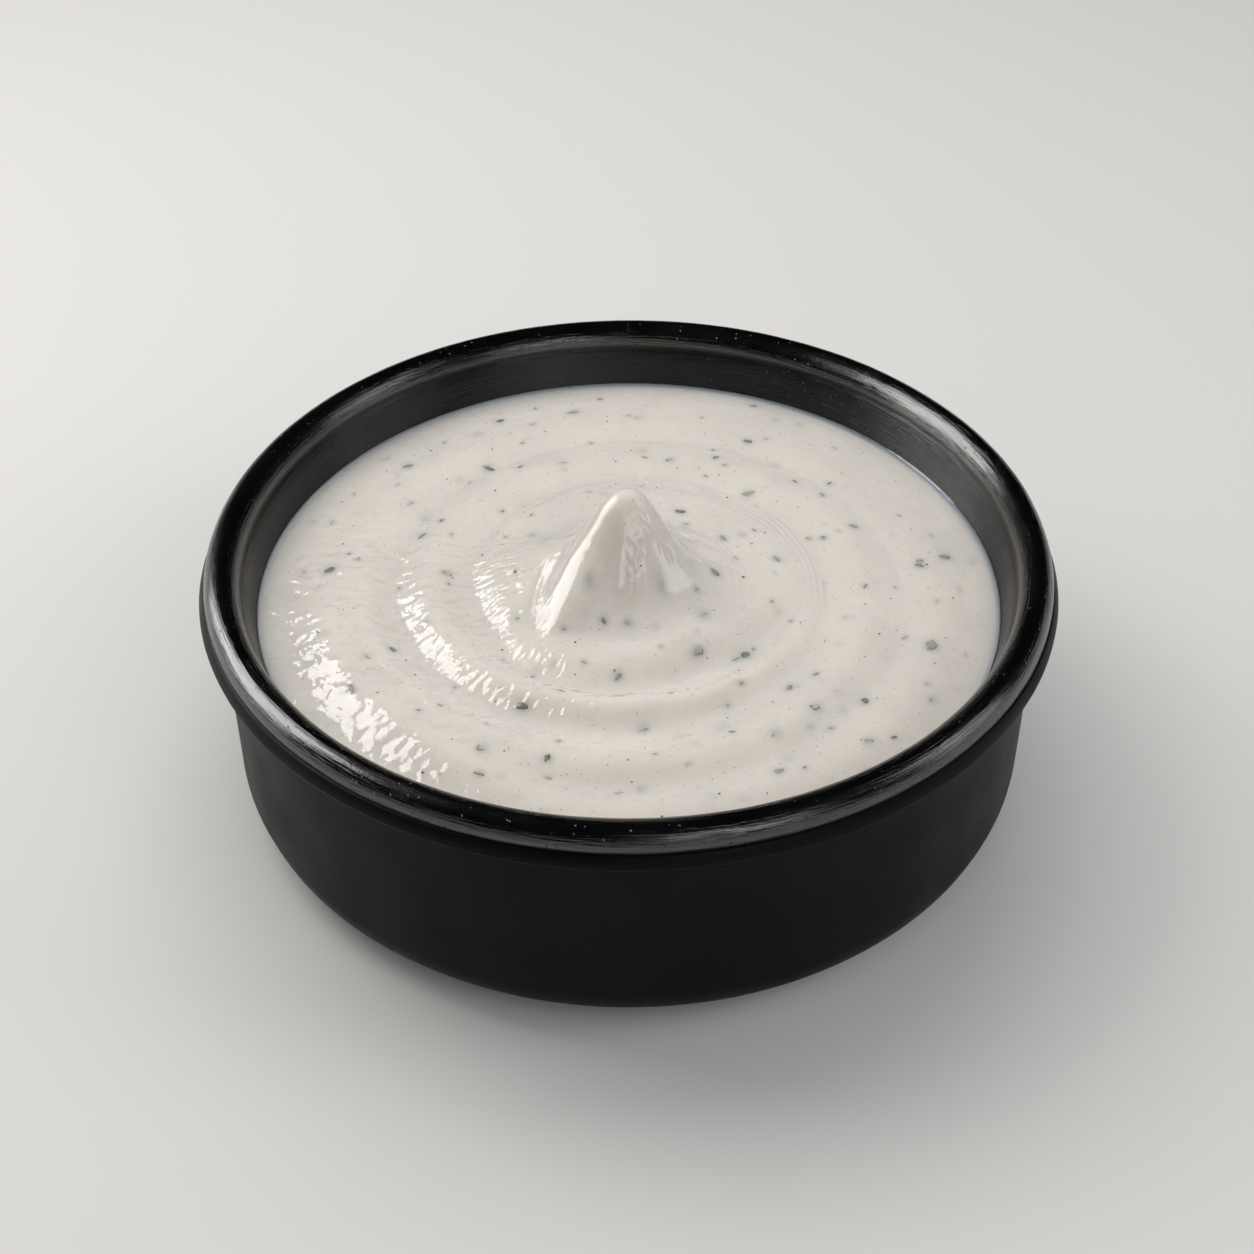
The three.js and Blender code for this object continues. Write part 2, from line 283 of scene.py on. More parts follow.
@dataclass(frozen=True)
class BlackGlaze:
    """Black iron glaze on thrown stoneware.

    It pools glossy on the rolled lip and semi-gloss inside, finely pitted and with hairlines from
    the wheel in both places, and stays thin and satin on the wall.
    """

    name: str = "black_stoneware_glaze"
    colour_thin: str = "0a0a0b"
    colour_pooled: str = "040405"
    ior: float = 1.55
    shine: dict = field(
        default_factory=lambda: {GlazeZone.WALL: 0.1, GlazeZone.INSIDE: 0.4, GlazeZone.LIP: 1.0}
    )
    roughness: dict = field(
        default_factory=lambda: {
            GlazeZone.WALL: (0.42, 0.54),
            GlazeZone.INSIDE: (0.24, 0.4),
            GlazeZone.LIP: (0.15, 0.26),
        }
    )
    lip_foot_mm: float = 30.45
    blend_mm: float = 0.25
    inside_mm: float = 46.0
    cloud_mm: float = 9.0
    grain_mm: float = 0.35
    grain_depth_mm: float = 0.02
    hairline_mm: tuple[float, float] = (6.0, 0.22)
    hairline_depth_mm: float = 0.07
    rim_radius_mm: float = 50.0
    pit_spacing_mm: float = 1.0
    pit_share: float = 0.14
    pit_depth_mm: float = 0.1
    bump_share: float = 0.6

    def make(self) -> bpy.types.Material:
        """Builds the material.

        Returns:
            The finished material.
        """
        material, tree, shader = new_material(self.name)
        place = add_node(tree, "ShaderNodeTexCoord").outputs["Object"]
        axes = add_node(tree, "ShaderNodeSeparateXYZ", links={"Vector": place}).outputs
        away = away_from_axis(tree, axes)
        inside = add_node(
            tree, "ShaderNodeMath", {"operation": "LESS_THAN", 1: self.inside_mm * MM}, {0: away}
        ).outputs["Value"]
        high = add_node(
            tree,
            "ShaderNodeMapRange",
            {
                "interpolation_type": "SMOOTHSTEP",
                "From Min": (self.lip_foot_mm - self.blend_mm) * MM,
                "From Max": (self.lip_foot_mm + self.blend_mm) * MM,
            },
            {"Value": axes["Z"]},
        ).outputs["Result"]
        glossy = add_node(
            tree, "ShaderNodeMath", {"operation": "MAXIMUM"}, {0: high, 1: inside}
        ).outputs["Value"]
        cloud = add_node(
            tree, "ShaderNodeTexNoise", {"Scale": scale_for(self.cloud_mm), "Detail": 3.0}, {"Vector": place}
        ).outputs["Fac"]
        colour = add_node(
            tree,
            "ShaderNodeMix",
            {"data_type": "RGBA", 6: linear(self.colour_pooled), 7: linear(self.colour_thin)},
            {0: cloud},
        ).outputs[2]
        tree.links.new(colour, shader.inputs["Base Color"])
        rough = [
            add_node(
                tree,
                "ShaderNodeMapRange",
                dict(zip(("From Min", "From Max", "To Min", "To Max"), (*NOISE_SPAN, *self.roughness[zone]))),
                {"Value": cloud},
            ).outputs["Result"]
            for zone in GlazeZone
        ]
        shine = [add_node(tree, "ShaderNodeValue").outputs["Value"] for _ in GlazeZone]
        for socket, zone in zip(shine, GlazeZone):
            socket.default_value = self.shine[zone]
        for name, (wall, within, lip) in (("Roughness", rough), ("Specular IOR Level", shine)):
            low = add_node(tree, "ShaderNodeMix", links={0: inside, 2: wall, 3: within}).outputs[0]
            both = add_node(tree, "ShaderNodeMix", links={0: high, 2: low, 3: lip}).outputs[0]
            tree.links.new(both, shader.inputs[name])
        shader.inputs["IOR"].default_value = self.ior
        tree.links.new(self.relief(tree, place, glossy), shader.inputs["Normal"])
        return material

    def relief(
        self,
        tree: bpy.types.NodeTree,
        place: bpy.types.NodeSocket,
        glossy: bpy.types.NodeSocket,
    ) -> bpy.types.NodeSocket:
        """Fine relief of the glaze: pits and hairlines on the lip and inside, and grain all over.

        Args:
            tree: The material's tree.
            place: Object coordinates.
            glossy: Share of the pooled finish, 0 on the wall, and 1 on the lip and inside.

        Returns:
            The bumped normal.
        """
        pits = add_node(
            tree, "ShaderNodeTexVoronoi", {"Scale": scale_for(self.pit_spacing_mm)}, {"Vector": place}
        ).outputs["Distance"]
        pit_stops = [(0.0, grey(0.0)), (self.pit_share, grey(1.0))]
        pit_shape = add_node(
            tree, "ShaderNodeValToRGB", links={"Fac": pits}, stops=pit_stops
        ).outputs["Color"]
        long_mm, fine_mm = self.hairline_mm
        hairlines = strokes(tree, place, (self.rim_radius_mm / long_mm, 1 / fine_mm, 1 / fine_mm), 3.0)
        grain = add_node(
            tree, "ShaderNodeTexNoise", {"Scale": scale_for(self.grain_mm), "Detail": 2.0}, {"Vector": place}
        ).outputs["Fac"]
        normal = None
        for height, depth, by_zone in (
            (pit_shape, self.pit_depth_mm, True),
            (hairlines, self.hairline_depth_mm, True),
            (grain, self.grain_depth_mm, False),
        ):
            links = {"Height": height}
            if by_zone:
                links["Strength"] = glossy
            if normal is not None:
                links["Normal"] = normal
            bump = add_node(
                tree, "ShaderNodeBump", {"Distance": depth * MM, "Strength": self.bump_share}, links
            )
            normal = bump.outputs["Normal"]
        return normal


@dataclass(frozen=True)
class RanchCream:
    """Buttermilk and mayonnaise dressing, whisked and spooned.

    Light goes a little way in, so shadows are soft and warm. The wet skin is a clear film of its
    own, with crisp reflections that fine puckers tear at their edges. Where the dressing thins out
    on the dark wall it turns bluish. This tint is laid only along the right-hand side, where the
    bluish edge is partly a painted highlight. Over a herb it takes a grey-green veil.
    """

    name: str = "ranch_cream"
    colour: str = "ebe4da"
    colour_cool: str = "e3ddd4"
    colour_veil: str = "a3ada4"
    # Bluish tint of the dressing thinned out on the wall. It is laid on the right-hand side only, where it is
    # partly a painted highlight.
    colour_thin: str = "a3a8ab"
    ior: float = 1.45
    shine: float = 0.12
    roughness: float = 0.4
    film_ior: float = 1.56
    film_roughness: tuple[float, float] = (0.05, 0.1)
    scatter_weight: float = 0.85
    scatter_mm: tuple[float, float, float] = (3.0, 2.6, 2.1)
    mottle_mm: float = 7.0
    freckle_mm: float = 0.9
    freckle_share: float = 0.03
    freckle_span: tuple[float, float] = (0.3, 0.6)
    ripple_mm: float = 1.5
    ripple_depth_mm: float = 0.26
    pucker_pace: tuple[float, float, float] = (24.0, 0.5, 0.5)
    pucker_depth_mm: float = 0.24
    froth_mm: float = 0.5
    froth_depth_mm: float = 0.035

    def make(self) -> bpy.types.Material:
        """Builds the material.

        Returns:
            The finished material.
        """
        material, tree, shader = new_material(self.name)
        place = add_node(tree, "ShaderNodeTexCoord").outputs["Object"]
        mottle, freckles, ripple, froth = (
            add_node(
                tree, "ShaderNodeTexNoise", {"Scale": scale_for(size), "Detail": detail}, {"Vector": place}
            ).outputs["Fac"]
            for size, detail in (
                (self.mottle_mm, 4.0),
                (self.freckle_mm, 3.0),
                (self.ripple_mm, 0.0),
                (self.froth_mm, 1.0),
            )
        )
        creams = (linear(self.colour_cool), linear(self.colour))
        dusks = (grey(1 - self.freckle_share), grey(1.0))
        colour, dusk = (
            add_node(
                tree, "ShaderNodeValToRGB", links={"Fac": source}, stops=list(zip(span, colours))
            ).outputs["Color"]
            for source, span, colours in ((mottle, NOISE_SPAN, creams), (freckles, self.freckle_span, dusks))
        )
        colour = add_node(
            tree,
            "ShaderNodeMix",
            {"data_type": "RGBA", "blend_type": "MULTIPLY", 0: 1.0},
            {6: colour, 7: dusk},
        ).outputs[2]
        # The thin edge's tint is partly a painted highlight, laid only on the right-hand side where the light
        # falls.
        for attribute, tint in (("veil", self.colour_veil), ("thin_edge_and_sheen", self.colour_thin)):
            share = add_node(tree, "ShaderNodeAttribute", {"attribute_name": attribute}).outputs["Fac"]
            colour = add_node(
                tree, "ShaderNodeMix", {"data_type": "RGBA", 7: linear(tint)}, {0: share, 6: colour}
            ).outputs[2]
        tree.links.new(colour, shader.inputs["Base Color"])
        rough = add_node(
            tree,
            "ShaderNodeMapRange",
            {
                "From Min": NOISE_SPAN[0],
                "From Max": NOISE_SPAN[1],
                "To Min": self.film_roughness[0],
                "To Max": self.film_roughness[1],
            },
            {"Value": mottle},
        ).outputs["Result"]
        tree.links.new(rough, shader.inputs["Coat Roughness"])
        shader.inputs["Coat Weight"].default_value = 1.0
        shader.inputs["Coat IOR"].default_value = self.film_ior
        shader.inputs["Roughness"].default_value = self.roughness
        shader.inputs["IOR"].default_value = self.ior
        shader.inputs["Specular IOR Level"].default_value = self.shine
        shader.inputs["Subsurface Weight"].default_value = self.scatter_weight
        shader.inputs["Subsurface Radius"].default_value = [d / self.scatter_mm[0] for d in self.scatter_mm]
        shader.inputs["Subsurface Scale"].default_value = self.scatter_mm[0] * MM
        tight = add_node(tree, "ShaderNodeAttribute", {"attribute_name": "tight"}).outputs["Fac"]
        skin = None
        for height, depth in (
            (ripple, self.ripple_depth_mm),
            (strokes(tree, place, self.pucker_pace, 0.0), self.pucker_depth_mm),
            (froth, self.froth_depth_mm),
        ):
            links = {"Height": height, "Strength": tight}
            if skin is not None:
                links["Normal"] = skin
            skin = add_node(tree, "ShaderNodeBump", {"Distance": depth * MM}, links).outputs["Normal"]
        tree.links.new(skin, shader.inputs["Coat Normal"])
        return material


@dataclass(frozen=True)
class DriedHerb:
    """Dried herbs and spices, ground or torn, then softened in the dressing.

    Each bit has its own tone between two dried colours. A film of dressing clings to it, so a leaf
    is dark along its torn edge and milky inside.
    """

    name: str
    colour_one: str
    colour_two: str
    colour_film: str = "a9ada2"
    roughness: float = 0.3
    ior: float = 1.45
    vein_mm: float = 0.3
    vein_share: float = 0.6

    def make(self) -> bpy.types.Material:
        """Builds the material.

        Returns:
            The finished material.
        """
        material, tree, shader = new_material(self.name)
        place = add_node(tree, "ShaderNodeTexCoord").outputs["Object"]
        tone = add_node(tree, "ShaderNodeAttribute", {"attribute_name": "tone"}).outputs["Fac"]
        milky = add_node(tree, "ShaderNodeAttribute", {"attribute_name": "milky"}).outputs["Fac"]
        dry = add_node(
            tree,
            "ShaderNodeMix",
            {"data_type": "RGBA", 6: linear(self.colour_one), 7: linear(self.colour_two)},
            {0: tone},
        ).outputs[2]
        streaks = add_node(
            tree, "ShaderNodeTexNoise", {"Scale": scale_for(self.vein_mm), "Detail": 3.0}, {"Vector": place}
        ).outputs["Fac"]
        vein = add_node(
            tree,
            "ShaderNodeMath",
            {"operation": "MULTIPLY_ADD", 1: self.vein_share, 2: -self.vein_share / 2},
            {0: streaks},
        ).outputs["Value"]
        film = add_node(
            tree, "ShaderNodeMath", {"operation": "ADD", "use_clamp": True}, {0: milky, 1: vein}
        ).outputs["Value"]
        colour = add_node(
            tree, "ShaderNodeMix", {"data_type": "RGBA", 7: linear(self.colour_film)}, {0: film, 6: dry}
        ).outputs[2]
        tree.links.new(colour, shader.inputs["Base Color"])
        shader.inputs["Roughness"].default_value = self.roughness
        shader.inputs["IOR"].default_value = self.ior
        return material


@dataclass(frozen=True)
class StudioPaper:
    """Pale backdrop paper, rolled smooth, that the bowl stands on."""

    name: str = "pale_paper"
    colour: str = "e4e2de"
    roughness: float = 0.75

    def make(self) -> bpy.types.Material:
        """Builds the material.

        Returns:
            The finished material.
        """
        material, _, shader = new_material(self.name)
        shader.inputs["Base Color"].default_value = linear(self.colour)
        shader.inputs["Roughness"].default_value = self.roughness
        return material


# ------------------------------------------------------------------ bowl


@dataclass
class Bowl:
    """The dip bowl: underside, wall, overhanging band, crease, rolled lip and inside."""

    rim_radius: float = 50.0
    height: float = 32.8
    wall_radius: float = 47.8
    base_radius: float = 36.0
    base_corner_height: float = 7.2
    lip_foot: float = 28.4
    crease_height: float = 30.2
    crease_radius: float = 49.4
    crest_radius: float = 47.5
    inner_edge_radius: float = 45.2
    inner_edge_height: float = 30.3
    floor_height: float = 4.4
    floor_radius: float = 32.5
    inner_foot_height: float = 13.5
    inner_foot_radius: float = 42.6
    inner_fill_radius: float = 43.7
    inner_middle_share: float = 0.4
    fill_height: float = 25.1
    wall_rings: tuple[float, ...] = (12.0, 18.0, 23.0, 26.5)
    under_lip_round: float = 0.8
    band_round: float = 0.45
    band_top: float = 0.6
    # How far each point of the crease, and of the round under the inner edge, lies off it.
    crease_steps: tuple[tuple[float, float], ...] = (
        (-0.02, -0.03),
        (-0.16, 0.02),
        (-0.2, 0.1),
        (-0.13, 0.22),
    )
    inner_steps: tuple[tuple[float, float], ...] = ((-0.06, -0.3), (-0.2, -0.55), (-0.36, -0.85))
    roll_inset: float = 0.1
    around: int = 192
    wave_size: float = 14.0
    wave_depth: float = 0.1
    fine_size: float = 2.2
    fine_depth: float = 0.035
    crest_depth: float = 0.04
    crest_zone: float = 31.0
    even_height: float = 2.0
    even_radius: float = 1.0
    smooth_degrees: float = 40.0
    glaze: BlackGlaze = field(default_factory=BlackGlaze)

    def arc(
        self, centre: tuple[float, float], size: tuple[float, float], turn: tuple[float, float], steps: int
    ) -> list[tuple[float, float]]:
        """Points along a stretch of an ellipse in the bowl's section.

        Args:
            centre: Radius and height of the ellipse's centre.
            size: Half axes along the radius and the height.
            turn: First and last angle in degrees.
            steps: Number of stretches.

        Returns:
            Radius and height of each point.
        """
        angles = [math.radians(mix(turn[0], turn[1], i / steps)) for i in range(steps + 1)]
        return [(centre[0] + size[0] * math.cos(a), centre[1] + size[1] * math.sin(a)) for a in angles]

    def section(self) -> list[tuple[float, float]]:
        """The bowl's section from the edge of the underside, over the lip, to the inside floor.

        Returns:
            Radius and height of each point, in mm.
        """
        base_corner = (self.wall_radius - self.base_radius, self.base_corner_height)
        inner_corner = (
            self.inner_foot_radius - self.floor_radius,
            self.inner_foot_height - self.floor_height,
        )
        crest_rise = self.height - self.inner_edge_height
        hollow, band = self.under_lip_round, self.band_round
        hollow_height = self.lip_foot - hollow
        points = self.arc((self.base_radius, self.base_corner_height), base_corner, (-90, 0), 14)
        points += [(self.wall_radius, height) for height in (*self.wall_rings, hollow_height)]
        points += self.arc((self.wall_radius + hollow, hollow_height), (hollow, hollow), (180, 100), 4)
        points += self.arc((self.rim_radius - band, self.lip_foot + band), (band, band), (-80, 5), 4)
        band_top = (self.rim_radius, self.lip_foot + self.band_top)
        crease = (self.crease_radius, self.crease_height)
        points += [self.between(band_top, crease, share) for share in (0.5, 0.88)]
        points += [(crease[0] + out, crease[1] + up) for out, up in self.crease_steps]
        roll = (self.crest_radius, self.inner_edge_height)
        outer = (self.crease_radius - self.roll_inset - self.crest_radius, crest_rise)
        inner = (self.crest_radius - self.inner_edge_radius, crest_rise)
        points += self.arc(roll, outer, (14, 90), 12)
        points += self.arc(roll, inner, (98, 180), 11)
        edge = (self.inner_edge_radius, self.inner_edge_height)
        points += [(edge[0] + out, edge[1] + up) for out, up in self.inner_steps]
        wall_top = points[-1]
        fill = (self.inner_fill_radius, self.fill_height)
        points += [self.between(wall_top, fill, share) for share in (0.3, 0.65, 1.0)]
        middle_radius = mix(self.inner_foot_radius, self.inner_fill_radius, self.inner_middle_share)
        points.append((middle_radius, (self.inner_foot_height + self.fill_height) / 2))
        points += self.arc((self.floor_radius, self.inner_foot_height), inner_corner, (0, -90), 8)
        return points

    @staticmethod
    def between(start: tuple[float, float], end: tuple[float, float], share: float) -> tuple[float, float]:
        """The point a share of the way from one point of the section to another."""
        return mix(start[0], end[0], share), mix(start[1], end[1], share)

    def build(self) -> bpy.types.Object:
        """Draws the section up from a base circle, ring by ring, and closes both ends.

        Returns:
            The bowl's object.
        """
        deselect()
        points = self.section()
        bpy.ops.mesh.primitive_circle_add(
            vertices=self.around, radius=points[0][0] * MM, fill_type="NGON", location=(0, 0, 0)
        )
        bowl = bpy.context.object
        bpy.ops.object.mode_set(mode="EDIT")
        bpy.ops.mesh.select_mode(type="EDGE")
        bpy.ops.mesh.select_all(action="SELECT")
        bpy.ops.mesh.region_to_loop()
        bpy.ops.mesh.flip_normals()
        radius, height = points[0]
        for next_radius, next_height in points[1:]:
            bpy.ops.mesh.extrude_edges_move(
                TRANSFORM_OT_translate={"value": (0, 0, (next_height - height) * MM)}
            )
            share = next_radius / radius
            bpy.ops.transform.resize(value=(share, share, 1), center_override=(0, 0, next_height * MM))
            radius, height = next_radius, next_height
        bpy.ops.mesh.edge_face_add()
        bpy.ops.mesh.select_all(action="SELECT")
        bpy.ops.mesh.remove_doubles(threshold=1e-7)
        bpy.ops.mesh.normals_make_consistent(inside=False)
        bpy.ops.object.mode_set(mode="OBJECT")
        self.roughen(bowl)
        settle(bowl, "stoneware_bowl", self.glaze.make())
        bpy.ops.object.shade_smooth_by_angle(angle=math.radians(self.smooth_degrees))
        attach(bowl, "root")
        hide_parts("bowl")
        return bowl

    def roughen(self, bowl: bpy.types.Object) -> None:
        """Gives the thrown form its slight unevenness, always inwards, so that it keeps its size.

        Args:
            bowl: The bowl's object.
        """
        for vertex in bowl.data.vertices:
            radius = math.hypot(vertex.co.x, vertex.co.y)
            if vertex.co.z < self.even_height * MM or radius < self.even_radius * MM:
                continue
            wave = 0.5 + 0.5 * noise.noise(vertex.co / (self.wave_size * MM))
            fine = 0.5 + 0.5 * noise.noise(vertex.co / (self.fine_size * MM))
            pull = (self.wave_depth * wave + self.fine_depth * fine) * MM
            outside = radius > self.crest_radius * MM
            share = 1 - pull / radius if outside else 1 + 0.5 * pull / radius
            vertex.co.x *= share
            vertex.co.y *= share
            vertex.co.z -= self.crest_depth * MM * fine if vertex.co.z > self.crest_zone * MM else 0.0


# ------------------------------------------------------------------ dressing


def polar(radius: float, degrees: float) -> tuple[float, float]:
    """A point from its radius and its angle in degrees."""
    return radius * math.cos(math.radians(degrees)), radius * math.sin(math.radians(degrees))


def around(rows: Sequence[tuple[float, ...]], degrees: np.ndarray) -> list[np.ndarray]:
    """Eases listed values from one listed angle to the next.

    Args:
        rows: An angle in degrees and its values, in rising order, once round.
        degrees: The angles asked for, 0 to 360.

    Returns:
        One array for each value in a row.
    """
    values = [np.zeros_like(degrees) for _ in rows[0][1:]]
    for low, high in zip(rows, rows[1:]):
        t = ease((degrees - low[0]) / (high[0] - low[0]))
        here = (degrees >= low[0]) & (degrees <= high[0])
        for k, value in enumerate(values):
            value[here] = (low[k + 1] + (high[k + 1] - low[k + 1]) * t)[here]
    return values


def noise_at(x: np.ndarray, y: np.ndarray, size: float, layer: float = 0.0) -> np.ndarray:
    """Smooth noise over a plane.

    Args:
        x: Places along the first axis.
        y: Places along the second axis.
        size: Size of one lump.
        layer: Picks another noise of the same kind.

    Returns:
        Values of about -1 to 1.
    """
    return np.array([noise.noise((a, b, layer)) for a, b in zip((x / size).tolist(), (y / size).tolist())])


@dataclass(frozen=True)
class Fold:
    """A rounded ridge or hollow along a curve through three points, in mm and degrees."""

    rise: float
    half_width: float
    marks: tuple[tuple[float, float], tuple[float, float], tuple[float, float]]
    steps: int = 10
    end_power: float = 0.7

    def height(self, x: np.ndarray, y: np.ndarray) -> np.ndarray:
        """Rise of the fold at each place.

        Args:
            x: Places along X.
            y: Places along Y.

        Returns:
            The rise, which is nothing away from the curve.
        """
        first, middle, last = (np.array(polar(*mark)) for mark in self.marks)
        t = np.linspace(0, 1, self.steps + 1)[:, None]
        line = (1 - t) ** 2 * first + 2 * t * (1 - t) * middle + t**2 * last
        top = np.zeros_like(x)
        for i, (start, end) in enumerate(zip(line, line[1:])):
            step = end - start
            share = np.clip(((x - start[0]) * step[0] + (y - start[1]) * step[1]) / (step @ step), 0, 1)
            far = np.hypot(x - start[0] - share * step[0], y - start[1] - share * step[1])
            swell = np.abs(np.sin(math.pi * (i + share) / self.steps)) ** self.end_power
            top = np.maximum(top, swell * np.exp(-((far / self.half_width) ** 2)))
        return self.rise * top


@dataclass(frozen=True)
class Wrinkles:
    """A patch where the skin of the dressing is crinkled, in mm and degrees."""

    centre: tuple[float, float]
    reach: tuple[float, float]
    turn: float
    depth: float
    size: float = 1.1
    least_share: float = 0.02
    bend_size: float = 2.5
    bend_share: float = 1.2
    stretch: float = 0.45
    sharpness: float = 3.0

    def height(self, x: np.ndarray, y: np.ndarray) -> np.ndarray:
        """Rise of the crinkles at each place.

        Args:
            x: Places along X.
            y: Places along Y.

        Returns:
            The rise, which is nothing outside the patch.
        """
        middle = polar(*self.centre)
        turn = math.radians(self.turn)
        along = (x - middle[0]) * math.cos(turn) + (y - middle[1]) * math.sin(turn)
        across = (y - middle[1]) * math.cos(turn) - (x - middle[0]) * math.sin(turn)
        window = np.exp(-((along / self.reach[0]) ** 2) - (across / self.reach[1]) ** 2)
        crinkle = np.zeros_like(x)
        near = window > self.least_share
        bend = noise_at(x[near], y[near], self.bend_size * self.size, 5.0)
        bent = along[near] + self.bend_share * self.size * bend
        crinkle[near] = 1 - self.sharpness * np.abs(
            noise_at(bent, self.stretch * across[near], self.size, 11.0)
        )
        return self.depth * window * crinkle


@dataclass
class SwirlSurface:
    """Height of the dressing in mm: dome, spiral groove, mound, peak, folds and fine relief."""

    fill: float = 25.1
    edge_radius: float = 43.7
    dome_rise: float = 0.8
    pitch: float = 9.0
    start_radius: float = 34.5
    start_angle: float = -90.0
    mean_share: float = 0.45
    fade_radius: float = 42.5
    fade_width: float = 9.0
    outer_share: float = 0.62
    outer_radius: float = 27.5
    outer_width: float = 4.0
    limit_width: float = 4.2
    # Angle, depth, place of the crest, crispness and inner end of the groove.
    groove: tuple = (
        (0, 0.5, 0.5, 0.7, 21.3),
        (90, 0.42, 0.5, 1.0, 20.4),
        (150, 0.7, 0.55, 0.7, 18.0),
        (200, 1.5, 0.6, 0.0, 15.8),
        (235, 1.5, 0.6, 0.0, 19.6),
        (265, 1.35, 0.6, 0.0, 20.4),
        (300, 1.1, 0.6, 0.0, 20.6),
        (330, 0.8, 0.55, 0.3, 21.2),
        (360, 0.5, 0.5, 0.7, 21.3),
    )
    # Angle, foot radius, rise and reach of the mound.
    mound: tuple = (
        (0, 21.0, 0.55, 1.6),
        (90, 20.2, 0.8, 2.0),
        (140, 19.8, 1.2, 3.0),
        (168, 18.2, 2.3, 4.8),
        (200, 16.8, 2.6, 4.8),
        (226, 14.6, 2.5, 4.4),
        (246, 11.6, 1.6, 3.4),
        (270, 11.0, 0.5, 3.0),
        (300, 14.0, 0.2, 3.0),
        (330, 19.0, 0.2, 3.0),
        (360, 21.0, 0.55, 1.6),
    )
    foot_rounding: float = 0.45
    middle_rise: float = 1.6
    middle_radius: float = 9.0
    # Angle, radius and depth of the inner coil's groove.
    coil: tuple = (
        (0, 20.8, 0.0),
        (205, 20.8, 0.0),
        (235, 19.8, 0.55),
        (265, 18.6, 0.75),
        (300, 17.4, 0.75),
        (330, 18.6, 0.4),
        (356, 21.0, 0.0),
        (360, 21.0, 0.0),
    )
    coil_half_width: float = 2.0
    coil_inset: float = 4.2
    coil_crest_half_width: float = 2.4
    coil_crest_share: float = 0.75
    shoulder_angle: float = 215.0
    shoulder_spread: float = 31.0
    shoulder_spread_share: float = 1.6
    shoulder_rise: float = 1.6
    shoulder_radii: tuple[float, float, float] = (27.5, 35.6, 41.0)
    shoulder_blend: tuple[float, float] = (30.5, 2.5)
    peak: tuple = ((4.3, 4.4, 2.6), (6.93, 7.4, 2.0))
    folds: tuple[Fold, ...] = (
        Fold(1.5, 3.2, ((3.0, -172), (7.8, -148), (13.2, -124))),
        Fold(-0.9, 1.5, ((6.5, 172), (11.2, -163), (14.0, -138))),
        Fold(-0.3, 2.6, ((4.0, -115), (8.5, -108), (11.5, -95))),
        Fold(0.6, 1.4, ((3.5, 5), (6.0, -12), (8.5, -25))),
        Fold(-0.5, 1.2, ((4.0, 40), (7.5, 20), (11.5, 5))),
    )
    # Fine creases that only show close up.
    creases: tuple[Fold, ...] = (
        Fold(-0.4, 0.35, ((2.8, 10), (8.7, 58), (11.5, 24)), 16),
        Fold(0.28, 0.5, ((3.4, 22), (9.5, 60), (12.4, 27)), 16),
        Fold(-0.14, 0.28, ((5.5, 34), (9.0, 18), (14.0, 2)), 16),
        Fold(0.16, 0.5, ((3.0, -60), (5.6, -70), (8.2, -76)), 12),
        Fold(-0.12, 0.3, ((2.5, -75), (5.5, -84), (8.5, -88)), 12),
        Fold(0.14, 0.45, ((2.6, -100), (5.2, -102), (7.6, -98)), 12),
        Fold(-0.16, 0.3, ((9.0, 176), (12.0, -166), (14.5, -142)), 16),
        Fold(0.12, 0.5, ((13.0, 166), (15.0, -172), (15.2, -150)), 16),
    )
    wrinkles: tuple[Wrinkles, ...] = (
        Wrinkles((4.5, -78), (2.9, 1.2), 72, 0.26, 0.8),
        Wrinkles((5.1, -28), (2.3, 1.0), -18, 0.26, 0.7),
        Wrinkles((14.6, -55), (2.4, 1.5), 35, 0.16, 0.9),
        Wrinkles((21.6, -57), (3.0, 1.3), 30, 0.16, 0.9),
        Wrinkles((18.6, -124), (2.4, 1.4), -35, 0.13, 0.9),
        Wrinkles((13.8, -170), (2.6, 4.5), 0, 0.07, 1.4),
        Wrinkles((24.5, -150), (9.0, 2.4), -60, 0.08, 1.2),
        Wrinkles((37.8, -142), (12.0, 2.2), -52, 0.08, 1.1),
    )
    strand_gap: float = 0.75
    strand_depth: float = 0.1
    strand_reach: float = 31.0
    strand_fade: float = 6.0
    strand_inset: float = 1.2
    strand_half_width: float = 1.5
    strand_wander: float = 0.9
    strand_angle: float = 50.0
    strand_facing: tuple[float, float] = (0.15, 0.5)
    wander_size: float = 9.0
    # Size and height of the large lumps, the small lumps and the ripple.
    large_lumps: tuple[float, float] = (5.0, 0.09)
    small_lumps: tuple[float, float] = (2.2, 0.04)
    ripple: tuple[float, float] = (0.9, 0.022)
    ripple_stretch: float = 0.4
    peak_calm: float = 5.0
    edge_calm: float = 3.0
    edge_round: float = 0.5
    edge_lift: float = 0.3
    normal_step: float = 0.3
    sight_rounds: int = 40

